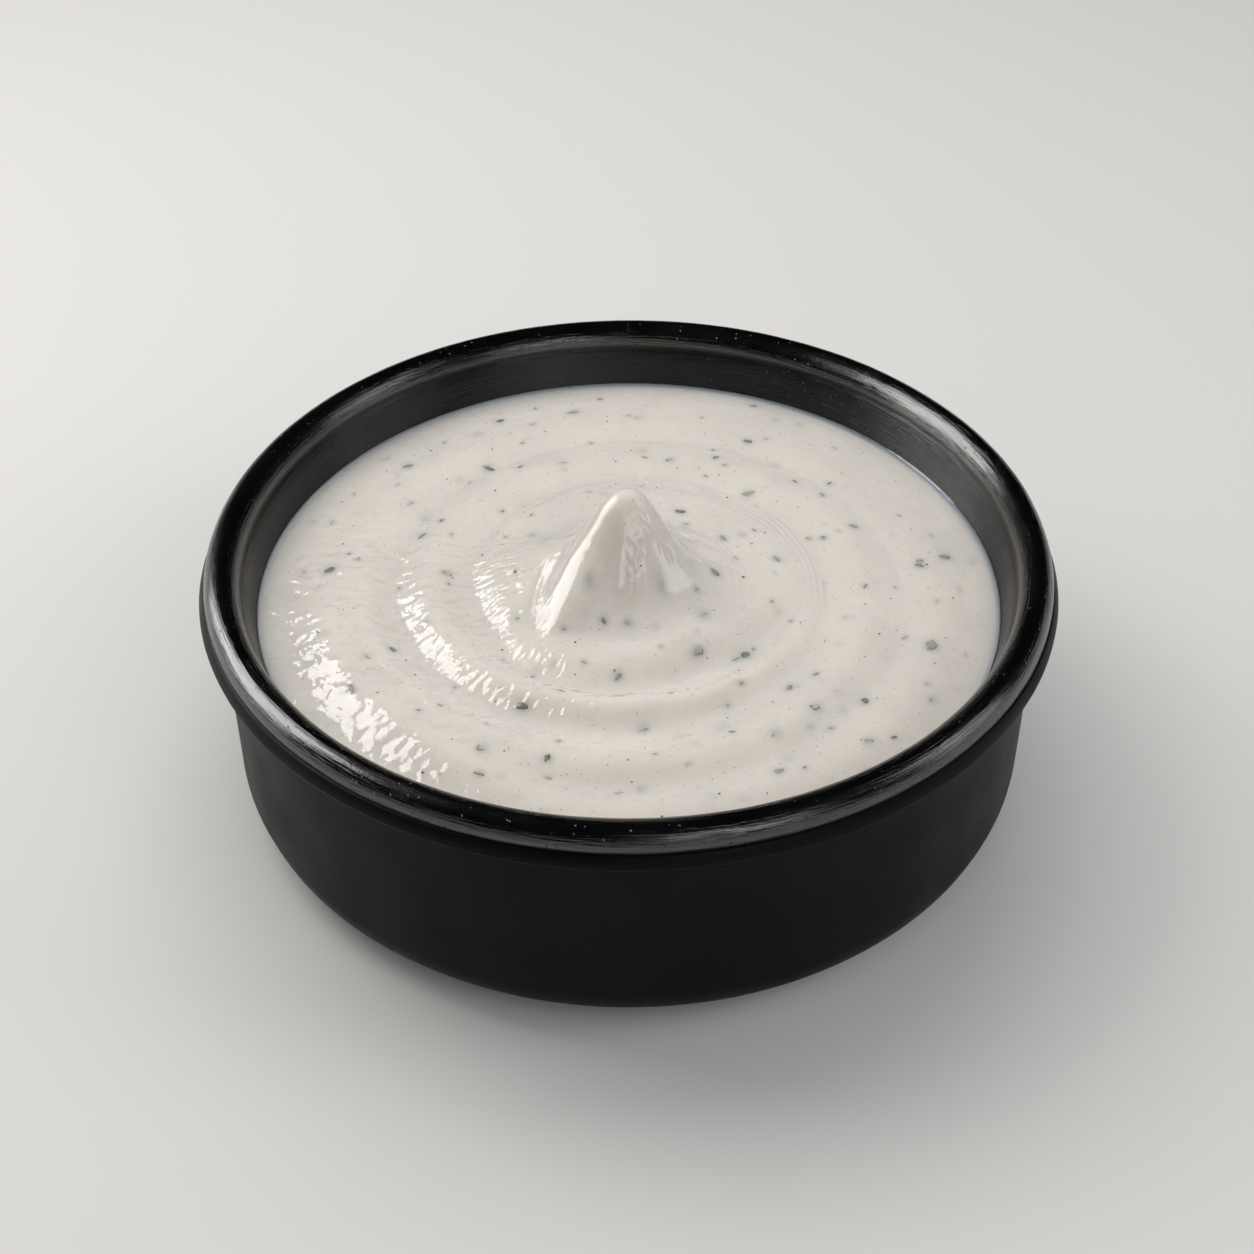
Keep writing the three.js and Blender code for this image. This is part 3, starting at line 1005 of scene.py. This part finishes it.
    def swirl_height(self, radius: np.ndarray, degrees: np.ndarray, shoulder: np.ndarray) -> np.ndarray:
        """Height of the spiral groove about the mean surface.

        Args:
            radius: Distance from the axis.
            degrees: Angle round the axis, 0 to 360.
            shoulder: Share of the shoulder, which takes the groove's place.

        Returns:
            The height, below nothing in the groove and above it on the crest.
        """
        depth, crest, crispness, limit = around(self.groove, degrees)
        turns = self.turns(radius, degrees)
        share = turns - np.floor(turns)
        skewed = np.where(share < crest, share / crest / 2, 0.5 + (share - crest) / (1 - crest) / 2)
        wave = 0.5 - 0.5 * np.cos(2 * math.pi * skewed)
        bands = 4 * skewed * (1 - skewed)
        fade = (
            ease((self.fade_radius - radius) / self.fade_width)
            * (1 + (self.outer_share - 1) * ease((radius - self.outer_radius) / self.outer_width))
            * ease((radius - limit) / self.limit_width + 0.5)
            * (1 - shoulder * ease((radius - self.shoulder_blend[0]) / self.shoulder_blend[1]))
        )
        return depth * fade * (wave + (bands - wave) * crispness - self.mean_share)

    def turns(self, radius: np.ndarray, degrees: np.ndarray) -> np.ndarray:
        """Turns of the spiral crossed on the way out to each place."""
        return (radius - self.start_radius) / self.pitch + (degrees - self.start_angle) / 360

    def mound_height(self, radius: np.ndarray, degrees: np.ndarray) -> np.ndarray:
        """Rise of the mound under the peak, from its foot in a slope that levels off.

        Args:
            radius: Distance from the axis.
            degrees: Angle round the axis, 0 to 360.

        Returns:
            The rise.
        """
        foot, rise, reach = around(self.mound, degrees)
        inside = self.foot_rounding * np.log1p(np.exp(np.clip((foot - radius) / self.foot_rounding, -60, 60)))
        outer = rise * (1 - np.exp(-inside / reach))
        return self.middle_rise + (outer - self.middle_rise) * ease(radius / self.middle_radius)

    def height(self, x: np.ndarray, y: np.ndarray) -> np.ndarray:
        """Height of the main form above the table.

        Args:
            x: Places along X.
            y: Places along Y.

        Returns:
            The heights.
        """
        radius = np.hypot(x, y)
        degrees = np.degrees(np.arctan2(y, x)) % 360
        dome = self.dome_rise * (1 - (radius / self.fade_radius) ** 2)
        off = np.abs(degrees - self.shoulder_angle) / self.shoulder_spread
        shoulder = ease(self.shoulder_spread_share - off)
        foot, crest, end = self.shoulder_radii
        drop = self.shoulder_rise * shoulder * ease((radius - foot) / (crest - foot))
        drop = drop * (1 - ease((radius - crest) / (end - crest)))
        coil_radius, coil_depth = around(self.coil, degrees)
        out = radius - coil_radius
        coil = coil_depth * (
            self.coil_crest_share * np.exp(-(((out + self.coil_inset) / self.coil_crest_half_width) ** 2))
            - np.exp(-((out / self.coil_half_width) ** 2))
        )
        folds = sum(fold.height(x, y) for fold in self.folds)
        peak = sum(rise * np.exp(-((radius / spread) ** power)) for rise, spread, power in self.peak)
        swirl = self.swirl_height(radius, degrees, shoulder)
        return self.fill + dome + self.mound_height(radius, degrees) + swirl + coil + drop + folds + peak

    def relief(self, x: np.ndarray, y: np.ndarray) -> np.ndarray:
        """Fine relief on the main form: creases, wrinkles, strands drawn by the spoon and lumps.

        Args:
            x: Places along X.
            y: Places along Y.

        Returns:
            The rise to add to the height.
        """
        radius = np.hypot(x, y)
        degrees = np.degrees(np.arctan2(y, x)) % 360
        turns = self.turns(radius, degrees)
        from_groove = (turns - np.round(turns)) * self.pitch
        facing = np.cos(np.radians(degrees - self.strand_angle))
        back_right = ease((facing - self.strand_facing[0]) / self.strand_facing[1])
        band = np.exp(-(((from_groove + self.strand_inset) / self.strand_half_width) ** 2)) * back_right
        band = band * ease((self.strand_reach - radius) / self.strand_fade)
        across = from_groove + self.strand_wander * noise_at(x, y, self.wander_size, 7.0)
        lines = 1 - 2 * np.abs(np.sin(math.pi * across / self.strand_gap)) ** 0.5
        on_peak = np.exp(-((radius / self.peak_calm) ** 4))
        large_size, large_rise = self.large_lumps
        small_size, small_rise = self.small_lumps
        lumps = large_rise * noise_at(x, y, large_size, 1.0) + small_rise * noise_at(x, y, small_size, 2.0)
        arc = np.radians(degrees) * radius
        ripple = self.ripple[1] * noise_at(radius, self.ripple_stretch * arc, self.ripple[0], 3.0)
        fine = self.strand_depth * lines * band + (lumps + ripple) * (1 - on_peak)
        fine = fine + sum(crease.height(x, y) for crease in self.creases)
        return fine + sum(patch.height(x, y) for patch in self.wrinkles)

    def full(self, x: np.ndarray, y: np.ndarray) -> np.ndarray:
        """Height of the finished surface, fine relief and the round at the wall included.

        Args:
            x: Places along X.
            y: Places along Y.

        Returns:
            The heights.
        """
        radius = np.hypot(x, y)
        calm = ease((self.edge_radius - radius) / self.edge_calm)
        over = np.clip((radius - self.edge_radius + self.edge_round) / self.edge_round, 0, 1)
        return self.height(x, y) + self.relief(x, y) * calm + self.edge_lift * over**2

    def spots(self, x: np.ndarray, y: np.ndarray) -> tuple[np.ndarray, np.ndarray]:
        """Places on the surface above points, and the surface's normals there.

        Args:
            x: Places along X.
            y: Places along Y.

        Returns:
            The places and the unit normals, a row for each point, in mm.
        """
        step = self.normal_step
        east = self.height(x + step, y) - self.height(x - step, y)
        north = self.height(x, y + step) - self.height(x, y - step)
        normals = np.stack([-east, -north, np.full_like(x, 2 * step)], axis=1)
        normals /= np.linalg.norm(normals, axis=1)[:, None]
        return np.stack([x, y, self.full(x, y)], axis=1), normals

    def met_by(self, origin: np.ndarray, rays: np.ndarray) -> np.ndarray:
        """Places where lines of sight meet the main form.

        Args:
            origin: The place that they start from, in mm.
            rays: Their directions, a row for each.

        Returns:
            X and Y of each place, a row for each.
        """
        level = np.full(len(rays), self.fill)
        for _ in range(self.sight_rounds):
            places = origin + rays * ((level - origin[2]) / rays[:, 2])[:, None]
            level += 0.5 * (self.height(places[:, 0], places[:, 1]) - level)
        return places[:, :2]


@dataclass
class Dressing:
    """The dressing's own body, as a spun surface raised by the swirl and closed below."""

    surface: SwirlSurface = field(default_factory=SwirlSurface)
    rings: int = 220
    around: int = 400
    wall_grip: float = 0.05
    skirt: float = 4.0
    skirt_taper: float = 0.97
    thin_width: float = 0.7
    # Side where the thin edge's bluish tint is laid, partly as a painted highlight; the shaded left side gets
    # none.
    sheen_side_angle: float = 30.0
    tight_angle: float = 220.0
    tight_facing: float = 0.45
    tight_spread: float = 0.55
    tight_radius: float = 10.0
    tight_fade: float = 6.0
    loose_share: float = 0.08
    smooth_degrees: float = 60.0
    cream: RanchCream = field(default_factory=RanchCream)

    def build(self, stains: Iterable[tuple[float, float, float, float]]) -> bpy.types.Object:
        """Spins a line of points into a disc, raises it and closes it.

        Args:
            stains: Place, radius and strength of each spot tinted by a herb in or under the skin.

        Returns:
            The dressing's object.
        """
        deselect()
        reach = self.surface.edge_radius + self.wall_grip
        bpy.ops.mesh.primitive_grid_add(
            x_subdivisions=self.rings, y_subdivisions=1, size=reach * MM, location=(reach / 2 * MM, 0, 0)
        )
        body = bpy.context.object
        bpy.ops.object.transform_apply(location=True, rotation=True, scale=True)
        bpy.ops.object.mode_set(mode="EDIT")
        select_vertices(body, lambda place: place.y > 0)
        bpy.ops.mesh.delete(type="VERT")
        bpy.ops.mesh.select_all(action="SELECT")
        bpy.ops.transform.translate(value=(0, reach / 2 * MM, 0))
        bpy.ops.mesh.spin(steps=self.around, angle=2 * math.pi, center=(0, 0, 0), axis=(0, 0, 1))
        bpy.ops.mesh.select_all(action="SELECT")
        bpy.ops.mesh.remove_doubles(threshold=1e-6)
        select_vertices(body, lambda place: math.hypot(place.x, place.y) > (reach - 0.01) * MM)
        bpy.ops.mesh.extrude_edges_move(TRANSFORM_OT_translate={"value": (0, 0, -self.skirt * MM)})
        bpy.ops.transform.resize(
            value=(self.skirt_taper, self.skirt_taper, 1), center_override=(0, 0, -self.skirt * MM)
        )
        bpy.ops.mesh.edge_face_add()
        bpy.ops.mesh.select_all(action="SELECT")
        bpy.ops.mesh.normals_make_consistent(inside=False)
        bpy.ops.object.mode_set(mode="OBJECT")
        self.raise_surface(body, list(stains))
        settle(body, "swirled_dressing", self.cream.make())
        bpy.ops.object.shade_smooth_by_angle(angle=math.radians(self.smooth_degrees))
        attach(body, "root")
        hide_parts("ranch_dressing")
        return body

    def raise_surface(self, body: bpy.types.Object, stains: list[tuple[float, float, float, float]]) -> None:
        """Lifts the flat disc to the swirl's height, and marks its stains, its bluish thin edge on the
        right-hand side (partly a painted highlight) and its tight skin.

        Args:
            body: The flat dressing.
            stains: Place, radius and strength of each tinted spot.
        """
        mesh = body.data
        places = np.empty(len(mesh.vertices) * 3)
        mesh.vertices.foreach_get("co", places)
        places = places.reshape(-1, 3) / MM
        top = places[:, 2] > -0.5 * self.skirt
        x, y = places[:, 0].copy(), places[:, 1].copy()
        places[:, 2] = np.where(top, self.surface.full(x, y), self.surface.fill - self.skirt)
        mesh.vertices.foreach_set("co", (places * MM).ravel())
        veil = np.zeros(len(places))
        for spot_x, spot_y, reach, strength in stains:
            near = np.flatnonzero((np.abs(x - spot_x) < 3 * reach) & (np.abs(y - spot_y) < 3 * reach))
            far = np.hypot(x[near] - spot_x, y[near] - spot_y)
            veil[near] = np.maximum(veil[near], strength * np.exp(-((far / reach) ** 2)))
        # Bluish thin edge at the wall, faded out away from the right-hand side: partly a painted highlight.
        thin_edge_and_sheen = ease((np.hypot(x, y) - self.surface.edge_radius + self.thin_width) / self.thin_width)
        thin_edge_and_sheen *= ease(np.cos(np.arctan2(y, x) - math.radians(self.sheen_side_angle)))
        facing = np.cos(np.arctan2(y, x) - math.radians(self.tight_angle))
        turned = ease((facing - self.tight_facing) / self.tight_spread + 0.5)
        off_peak = ease((np.hypot(x, y) - self.tight_radius) / self.tight_fade)
        tight = mix(self.loose_share, 1.0, turned * off_peak)
        for name, values in (("veil", veil), ("thin_edge_and_sheen", thin_edge_and_sheen), ("tight", tight)):
            mesh.attributes.new(name, "FLOAT", "POINT").data.foreach_set("value", values)
        mesh.update()


# ------------------------------------------------------------------ herbs and pepper


class Bit(Enum):
    """Kinds of bits in the dressing."""

    FLAKE = "herb_flakes"
    SLIVER = "herb_slivers"
    PEPPER = "pepper_grains"
    DUST = "spice_dust"


@dataclass(frozen=True)
class Lie:
    """Where one bit lies and how large it is, in mm, with its turn in radians."""

    x: float
    y: float
    length: float
    width: float
    turn: float


@dataclass(frozen=True)
class SeenFlake:
    """A flake seen in the photograph: its pixel, its length and width in mm and its turn in degrees."""

    pixel: tuple[int, int]
    length: float
    width: float
    turn: float


@dataclass(frozen=True)
class Scatter:
    """How many bits of one kind there are, how large they are and how they lie, in mm."""

    kind: Bit
    count: int
    length: tuple[float, float]
    width_share: tuple[float, float]
    thickness: float
    sink: float
    inner_radius: float
    outer_radius: float
    jitter: float
    seed: int
    finish: DriedHerb
    along_swirl: float = 0.0
    corners: int = 0
    rarity: float = 1.6
    film: tuple[float, float] = (-0.1, 0.3)
    turn_scatter: float = 0.35

    def lies(self) -> list[Lie]:
        """Spreads the bits by the golden angle, with a seeded shift, size and turn for each.

        Returns:
            One lie for each bit.
        """
        draw = random.Random(self.seed)
        golden = math.pi * (3 - math.sqrt(5))
        found = []
        for i in range(self.count):
            share = (i + 0.5) / self.count
            radius = math.sqrt(mix(self.inner_radius**2, self.outer_radius**2, share))
            x = radius * math.cos(i * golden + self.seed) + draw.uniform(-self.jitter, self.jitter)
            y = radius * math.sin(i * golden + self.seed) + draw.uniform(-self.jitter, self.jitter)
            length = mix(*self.length, draw.random() ** self.rarity)
            width = length * draw.uniform(*self.width_share)
            if draw.random() < self.along_swirl:
                turn = math.atan2(y, x) + math.pi / 2 + draw.gauss(0, self.turn_scatter)
            else:
                turn = draw.uniform(0, math.pi)
            if math.hypot(x, y) < self.outer_radius:
                found.append(Lie(x, y, length, width, turn))
        return found


@dataclass(frozen=True)
class TornLeaf:
    """A torn, slightly cupped leaf, in shares of its length, width and thickness."""

    corner_shift: float = 0.3
    reach: tuple[float, float] = (0.55, 1.1)
    cup: tuple[float, float] = (-0.6, 0.5)
    edge_height: float = 0.1
    edge_ripple: tuple[float, float] = (-0.2, 0.3)
    shoulder_share: float = 0.8
    shoulder_height: float = 0.45
    cup_share: float = 0.4
    middle_height: float = 0.4
    underside_share: float = 0.9
    underside_height: float = -0.5
    # Milkiness of the middle and the shoulder, on the milkiest leaf and on the cleanest.
    middle_milk: tuple[float, float] = (0.95, 0.4)
    shoulder_milk: tuple[float, float] = (0.85, 0.3)
    # What a leaf's open side adds to the shoulder and to the edge, and the edge's own share.
    shoulder_open_milk: float = 0.2
    edge_open_milk: float = 0.85
    edge_milk: float = 0.02

    def make(
        self, corners: int, draw: random.Random
    ) -> tuple[list[Vector], list[list[int]], list[float]]:
        """Draws one leaf of unit size with a ragged outline.

        Args:
            corners: Number of corners of the outline.
            draw: The random stream for the outline.

        Returns:
            Points, faces and the milkiness of each point.
        """
        rim = []
        for k in range(corners):
            angle = 2 * math.pi * (k + draw.uniform(-self.corner_shift, self.corner_shift)) / corners
            reach = 0.5 * draw.uniform(*self.reach)
            rim.append((reach * math.cos(angle), reach * math.sin(angle)))
        cup = draw.uniform(*self.cup)
        inner, under, low = self.shoulder_share, self.underside_share, self.underside_height
        shoulder_height = self.shoulder_height + self.cup_share * cup
        points = [Vector((x, y, self.edge_height + draw.uniform(*self.edge_ripple))) for x, y in rim]
        points += [Vector((inner * x, inner * y, shoulder_height)) for x, y in rim]
        points += [Vector((under * x, under * y, low)) for x, y in rim]
        points += [Vector((0, 0, self.middle_height + cup)), Vector((0, 0, low))]
        faces = []
        for k in range(corners):
            m = (k + 1) % corners
            faces += [
                [k, m, corners + m, corners + k],
                [corners + k, corners + m, 3 * corners],
                [2 * corners + k, 2 * corners + m, m, k],
                [3 * corners + 1, 2 * corners + m, 2 * corners + k],
            ]
        open_side = draw.randrange(corners)
        clean = draw.random()
        milky = []
        for index in range(len(points)):
            near = 0.5 + 0.5 * math.cos(2 * math.pi * ((index % corners) - open_side) / corners)
            if index >= 3 * corners:
                milky.append(mix(*self.middle_milk, clean))
            elif corners <= index < 2 * corners:
                milky.append(mix(*self.shoulder_milk, clean) + self.shoulder_open_milk * near)
            else:
                milky.append(self.edge_milk + self.edge_open_milk * near**4)
        return points, faces, milky


@dataclass
class Seasoning:
    """Herb flakes, slivers, pepper and spice dust on and just under the dressing's skin."""

    surface: SwirlSurface
    camera: PhotoCamera
    # The largest flakes, each picked out in the photograph.
    seen: tuple[SeenFlake, ...] = (
        SeenFlake((330, 570), 2.2, 1.4, 20),
        SeenFlake((931, 645), 2.1, 1.4, 70),
        SeenFlake((946, 557), 1.9, 0.9, 150),
        SeenFlake((423, 535), 2.1, 0.6, 50),
        SeenFlake((407, 466), 2.4, 0.6, 15),
        SeenFlake((488, 468), 2.2, 0.8, 160),
        SeenFlake((447, 573), 1.8, 0.8, 165),
        SeenFlake((574, 412), 2.3, 0.7, 10),
        SeenFlake((500, 421), 1.8, 0.6, 20),
        SeenFlake((532, 535), 1.0, 0.7, 0),
        SeenFlake((316, 652), 1.8, 1.0, 20),
        SeenFlake((351, 688), 1.6, 0.5, 110),
        SeenFlake((747, 441), 1.6, 0.7, 160),
        SeenFlake((716, 457), 1.0, 0.7, 40),
        SeenFlake((748, 493), 2.0, 0.9, 10),
        SeenFlake((680, 511), 1.6, 0.9, 165),
        SeenFlake((723, 538), 1.6, 0.8, 120),
        SeenFlake((742, 535), 1.2, 0.6, 30),
        SeenFlake((715, 572), 1.8, 0.9, 150),
        SeenFlake((663, 586), 1.8, 1.0, 170),
        SeenFlake((704, 615), 2.1, 1.2, 165),
        SeenFlake((746, 655), 2.0, 1.4, 110),
        SeenFlake((697, 652), 1.9, 1.2, 30),
        SeenFlake((618, 676), 1.7, 0.8, 60),
        SeenFlake((523, 706), 1.9, 1.3, 170),
        SeenFlake((482, 748), 1.5, 1.1, 20),
        SeenFlake((547, 758), 1.4, 0.8, 60),
        SeenFlake((643, 729), 1.9, 0.7, 0),
        SeenFlake((790, 687), 1.3, 0.9, 80),
        SeenFlake((816, 707), 1.8, 0.9, 10),
        SeenFlake((776, 733), 1.5, 0.7, 40),
        SeenFlake((865, 701), 1.4, 0.8, 120),
        SeenFlake((869, 741), 1.3, 0.8, 10),
        SeenFlake((779, 771), 1.4, 0.8, 20),
        SeenFlake((641, 790), 1.2, 0.8, 160),
        SeenFlake((854, 526), 1.8, 0.7, 150),
        SeenFlake((920, 565), 1.5, 0.8, 160),
        SeenFlake((670, 460), 1.3, 0.8, 10),
        SeenFlake((589, 580), 1.3, 0.4, 70),
        SeenFlake((604, 621), 1.4, 0.5, 115),
        SeenFlake((541, 618), 1.2, 0.8, 30),
    )
    kinds: tuple[Scatter, ...] = (
        Scatter(
            Bit.FLAKE, 26, (0.6, 1.2), (0.4, 0.8), 0.16, 0.05, 8, 42, 2.5, 11,
            DriedHerb("torn_parsley", "1f2a23", "3d4a38"), 0.4, 9,
        ),
        Scatter(
            Bit.SLIVER, 80, (0.5, 1.6), (0.14, 0.3), 0.16, 0.03, 9, 42, 3.0, 12,
            DriedHerb("chopped_chive", "3a4534", "5f6655"), 0.8, 8,
        ),
        Scatter(
            Bit.PEPPER, 240, (0.2, 0.55), (0.6, 1.0), 0.3, 0.03, 3, 42.5, 3.0, 13,
            DriedHerb("cracked_pepper", "2e2a25", "5f4c3c"), film=(0.0, 0.5), rarity=2.0,
        ),
        Scatter(
            Bit.DUST, 1500, (0.09, 0.2), (0.6, 1.0), 0.14, 0.0, 1, 43, 2.0, 14,
            DriedHerb("ground_spice", "5b4a3c", "8a7360"), film=(0.0, 0.5), rarity=1.5,
        ),
    )
    sunken_count: int = 150
    sunken_seed: int = 15
    sunken_zone: tuple[float, float] = (9.0, 42.0)
    sunken_reach: tuple[float, float] = (0.3, 0.8)
    sunken_strength: float = 0.38
    sunken_rarity: float = 1.5
    stain_margin: float = 0.3
    stain_share: float = 0.42
    stain_strength: float = 0.46
    leaf: TornLeaf = TornLeaf()
    grain_milk: float = 0.1
    smooth_degrees: float = 50.0

    def lies(self, scatter: Scatter) -> list[Lie]:
        """Where the bits of one kind lie, the largest flakes first.

        Args:
            scatter: The kind.

        Returns:
            One lie for each bit.
        """
        if scatter.kind is not Bit.FLAKE:
            return scatter.lies()
        rays = self.camera.rays(np.array([flake.pixel for flake in self.seen], dtype=float))
        places = self.surface.met_by(np.array(self.camera.place), rays).tolist()
        first = [
            Lie(x, y, flake.length, flake.width, math.radians(flake.turn))
            for (x, y), flake in zip(places, self.seen)
        ]
        return first + scatter.lies()

    def stains(self) -> list[tuple[float, float, float, float]]:
        """Spots where a herb in or under the skin tints the dressing.

        Returns:
            X, Y, radius and strength of each spot.
        """
        spots = []
        for scatter in self.kinds[:2]:
            for lie in self.lies(scatter):
                reach = self.stain_margin + self.stain_share * math.sqrt(lie.length * lie.width)
                spots.append((lie.x, lie.y, reach, self.stain_strength))
        draw = random.Random(self.sunken_seed)
        inner, outer = self.sunken_zone
        for _ in range(self.sunken_count):
            place = polar(math.sqrt(draw.uniform(inner**2, outer**2)), draw.uniform(0, 360))
            reach = draw.uniform(*self.sunken_reach)
            spots.append((*place, reach, self.sunken_strength * draw.random() ** self.sunken_rarity))
        return spots

    def grain(self) -> tuple[list[Vector], list[list[int]], list[float]]:
        """An eight-sided crumb of unit size.

        Returns:
            Points, faces and the milkiness of each point.
        """
        tips = ((1, 0, 0), (0, 1, 0), (-1, 0, 0), (0, -1, 0), (0, 0, 1), (0, 0, -1))
        points = [Vector(tip) / 2 for tip in tips]
        faces = [[0, 1, 4], [1, 2, 4], [2, 3, 4], [3, 0, 4], [1, 0, 5], [2, 1, 5], [3, 2, 5], [0, 3, 5]]
        return points, faces, [self.grain_milk] * len(points)

    def build(self, scatter: Scatter) -> bpy.types.Object:
        """Lays every bit of one kind on the surface as one joined mesh.

        Args:
            scatter: The kind.

        Returns:
            The joined object.
        """
        draw = random.Random(100 + scatter.seed)
        points: list[Vector] = []
        faces: list[list[int]] = []
        milky: list[float] = []
        tones: list[float] = []
        lies = self.lies(scatter)
        xs, ys = (np.array([getattr(lie, axis) for lie in lies]) for axis in "xy")
        for lie, place, normal in zip(lies, *self.surface.spots(xs, ys)):
            place, normal = Vector(place), Vector(normal)
            shape, sides, milk = self.leaf.make(scatter.corners, draw) if scatter.corners else self.grain()
            thick = scatter.thickness * (1 if scatter.corners else lie.length / scatter.length[1])
            heading = Vector((math.cos(lie.turn), math.sin(lie.turn), 0))
            along = (heading - normal * heading.dot(normal)).normalized()
            lay = Matrix((along, normal.cross(along), normal)).transposed()
            first = len(points)
            film = draw.uniform(*scatter.film)
            tones += [draw.random()] * len(shape)
            for point, share in zip(shape, milk):
                local = Vector((point.x * lie.length, point.y * lie.width, point.z * thick))
                points.append((place + lay @ local - normal * scatter.sink) * MM)
                milky.append(min(1.0, max(0.0, share + film)))
            faces += [[first + i for i in side] for side in sides]
        mesh = bpy.data.meshes.new(scatter.kind.value)
        mesh.from_pydata(points, [], faces)
        for name, values in (("milky", milky), ("tone", tones)):
            mesh.attributes.new(name, "FLOAT", "POINT").data.foreach_set("value", values)
        piece = bpy.data.objects.new(scatter.kind.value, mesh)
        bpy.context.collection.objects.link(piece)
        settle(piece, scatter.kind.value, scatter.finish.make())
        bpy.ops.object.mode_set(mode="EDIT")
        bpy.ops.mesh.select_all(action="SELECT")
        bpy.ops.mesh.normals_make_consistent(inside=False)
        bpy.ops.object.mode_set(mode="OBJECT")
        bpy.ops.object.shade_smooth_by_angle(angle=math.radians(self.smooth_degrees))
        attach(piece, "root")
        return piece


# ------------------------------------------------------------------ studio


@dataclass(frozen=True)
class Lamp:
    """A soft box: turn and rise in degrees, distance and size in mm, power in watts."""

    name: str
    turn: float
    rise: float
    distance: float
    size: tuple[float, float]
    watts: float
    colour: str
    mirrored: bool = True
    lighting: bool = True

    def build(self, target: Vector) -> None:
        """Hangs the soft box and aims it.

        Args:
            target: The point it faces, in mm.
        """
        data = bpy.data.lights.new(self.name, "AREA")
        data.shape = "RECTANGLE"
        data.size, data.size_y = (side * MM for side in self.size)
        data.energy = self.watts
        data.color = linear(self.colour)[:3]
        lamp = bpy.data.objects.new(self.name, data)
        bpy.context.collection.objects.link(lamp)
        level = polar(self.distance * math.cos(math.radians(self.rise)), self.turn)
        place = Vector((*level, self.distance * math.sin(math.radians(self.rise)))) + target
        lamp.location = place * MM
        lamp.rotation_euler = (target - place).to_track_quat("-Z", "Y").to_euler()
        lamp.visible_glossy = self.mirrored
        lamp.visible_diffuse = self.lighting


@dataclass
class Studio:
    """Pale floor, soft lights and the camera at the photograph's angle, in mm and degrees."""

    viewpoint: PhotoCamera
    target: tuple = (0.0, 0.0, 26.0)
    lamps: tuple[Lamp, ...] = (
        Lamp("key_sheen", 163, 30, 420, (320, 350), 2.0, "fffdfb", lighting=False),
        Lamp("key_left", 155, 46, 420, (240, 270), 0.66, "fffdfb", mirrored=False),
        Lamp("fill_right", -6, 24, 450, (160, 300), 0.34, "f8f9ff"),
        Lamp("front_glint", -66, 22, 400, (200, 130), 0.17, "fffefc", lighting=False),
        Lamp("back_soft", 98, 62, 520, (460, 400), 0.95, "fffefc", mirrored=False),
        Lamp("front_soft", -62, 42, 480, (320, 300), 0.34, "fffefc", mirrored=False),
    )
    world: float = 0.37
    world_colour: str = "eef0f4"
    floor_side: float = 6000.0
    nearest: float = 10.0

    def floor(self) -> None:
        """Lays the pale paper under the bowl."""
        deselect()
        bpy.ops.mesh.primitive_plane_add(size=self.floor_side * MM, location=(0, 0, 0))
        paper = bpy.context.object
        settle(paper, "studio_floor", StudioPaper().make())

    def camera(self) -> None:
        """Places the camera where the photograph was taken from."""
        data = bpy.data.cameras.new("photo_camera")
        data.sensor_width = self.viewpoint.sensor
        data.lens = self.viewpoint.lens
        data.clip_start = self.nearest * MM
        data.dof.use_dof = False
        camera = bpy.data.objects.new("photo_camera", data)
        bpy.context.collection.objects.link(camera)
        camera.location = Vector(self.viewpoint.place) * MM
        camera.rotation_euler = self.viewpoint.turn().to_euler()
        bpy.context.scene.camera = camera

    def light(self) -> None:
        """Hangs the soft boxes and lights the room dimly."""
        for lamp in self.lamps:
            lamp.build(Vector(self.target))
        world = bpy.data.worlds.new("studio")
        world.use_nodes = True
        backdrop = world.node_tree.nodes["Background"]
        backdrop.inputs["Color"].default_value = linear(self.world_colour)
        backdrop.inputs["Strength"].default_value = self.world
        world.cycles_visibility.glossy = False
        bpy.context.scene.world = world
        bpy.context.scene.view_settings.view_transform = "Standard"

    def build(self) -> None:
        """Sets up the camera, the floor and the lights."""
        self.camera()
        self.floor()
        self.light()


# ------------------------------------------------------------------ assembly


def report(piece: bpy.types.Object) -> None:
    """Logs a finished piece with its number of faces."""
    LOG.info("%s: %d faces", piece.name, len(piece.data.polygons))


def main() -> None:
    """Builds the studio, the bowl, the dressing and its seasoning, in that order."""
    logging.basicConfig(level=logging.INFO, format="%(name)s %(message)s")
    viewpoint = PhotoCamera()
    Studio(viewpoint).build()
    report(Bowl().build())
    surface = SwirlSurface()
    seasoning = Seasoning(surface, viewpoint)
    report(Dressing(surface).build(seasoning.stains()))
    for scatter in seasoning.kinds:
        report(seasoning.build(scatter))


if __name__ == "__main__":
    main()
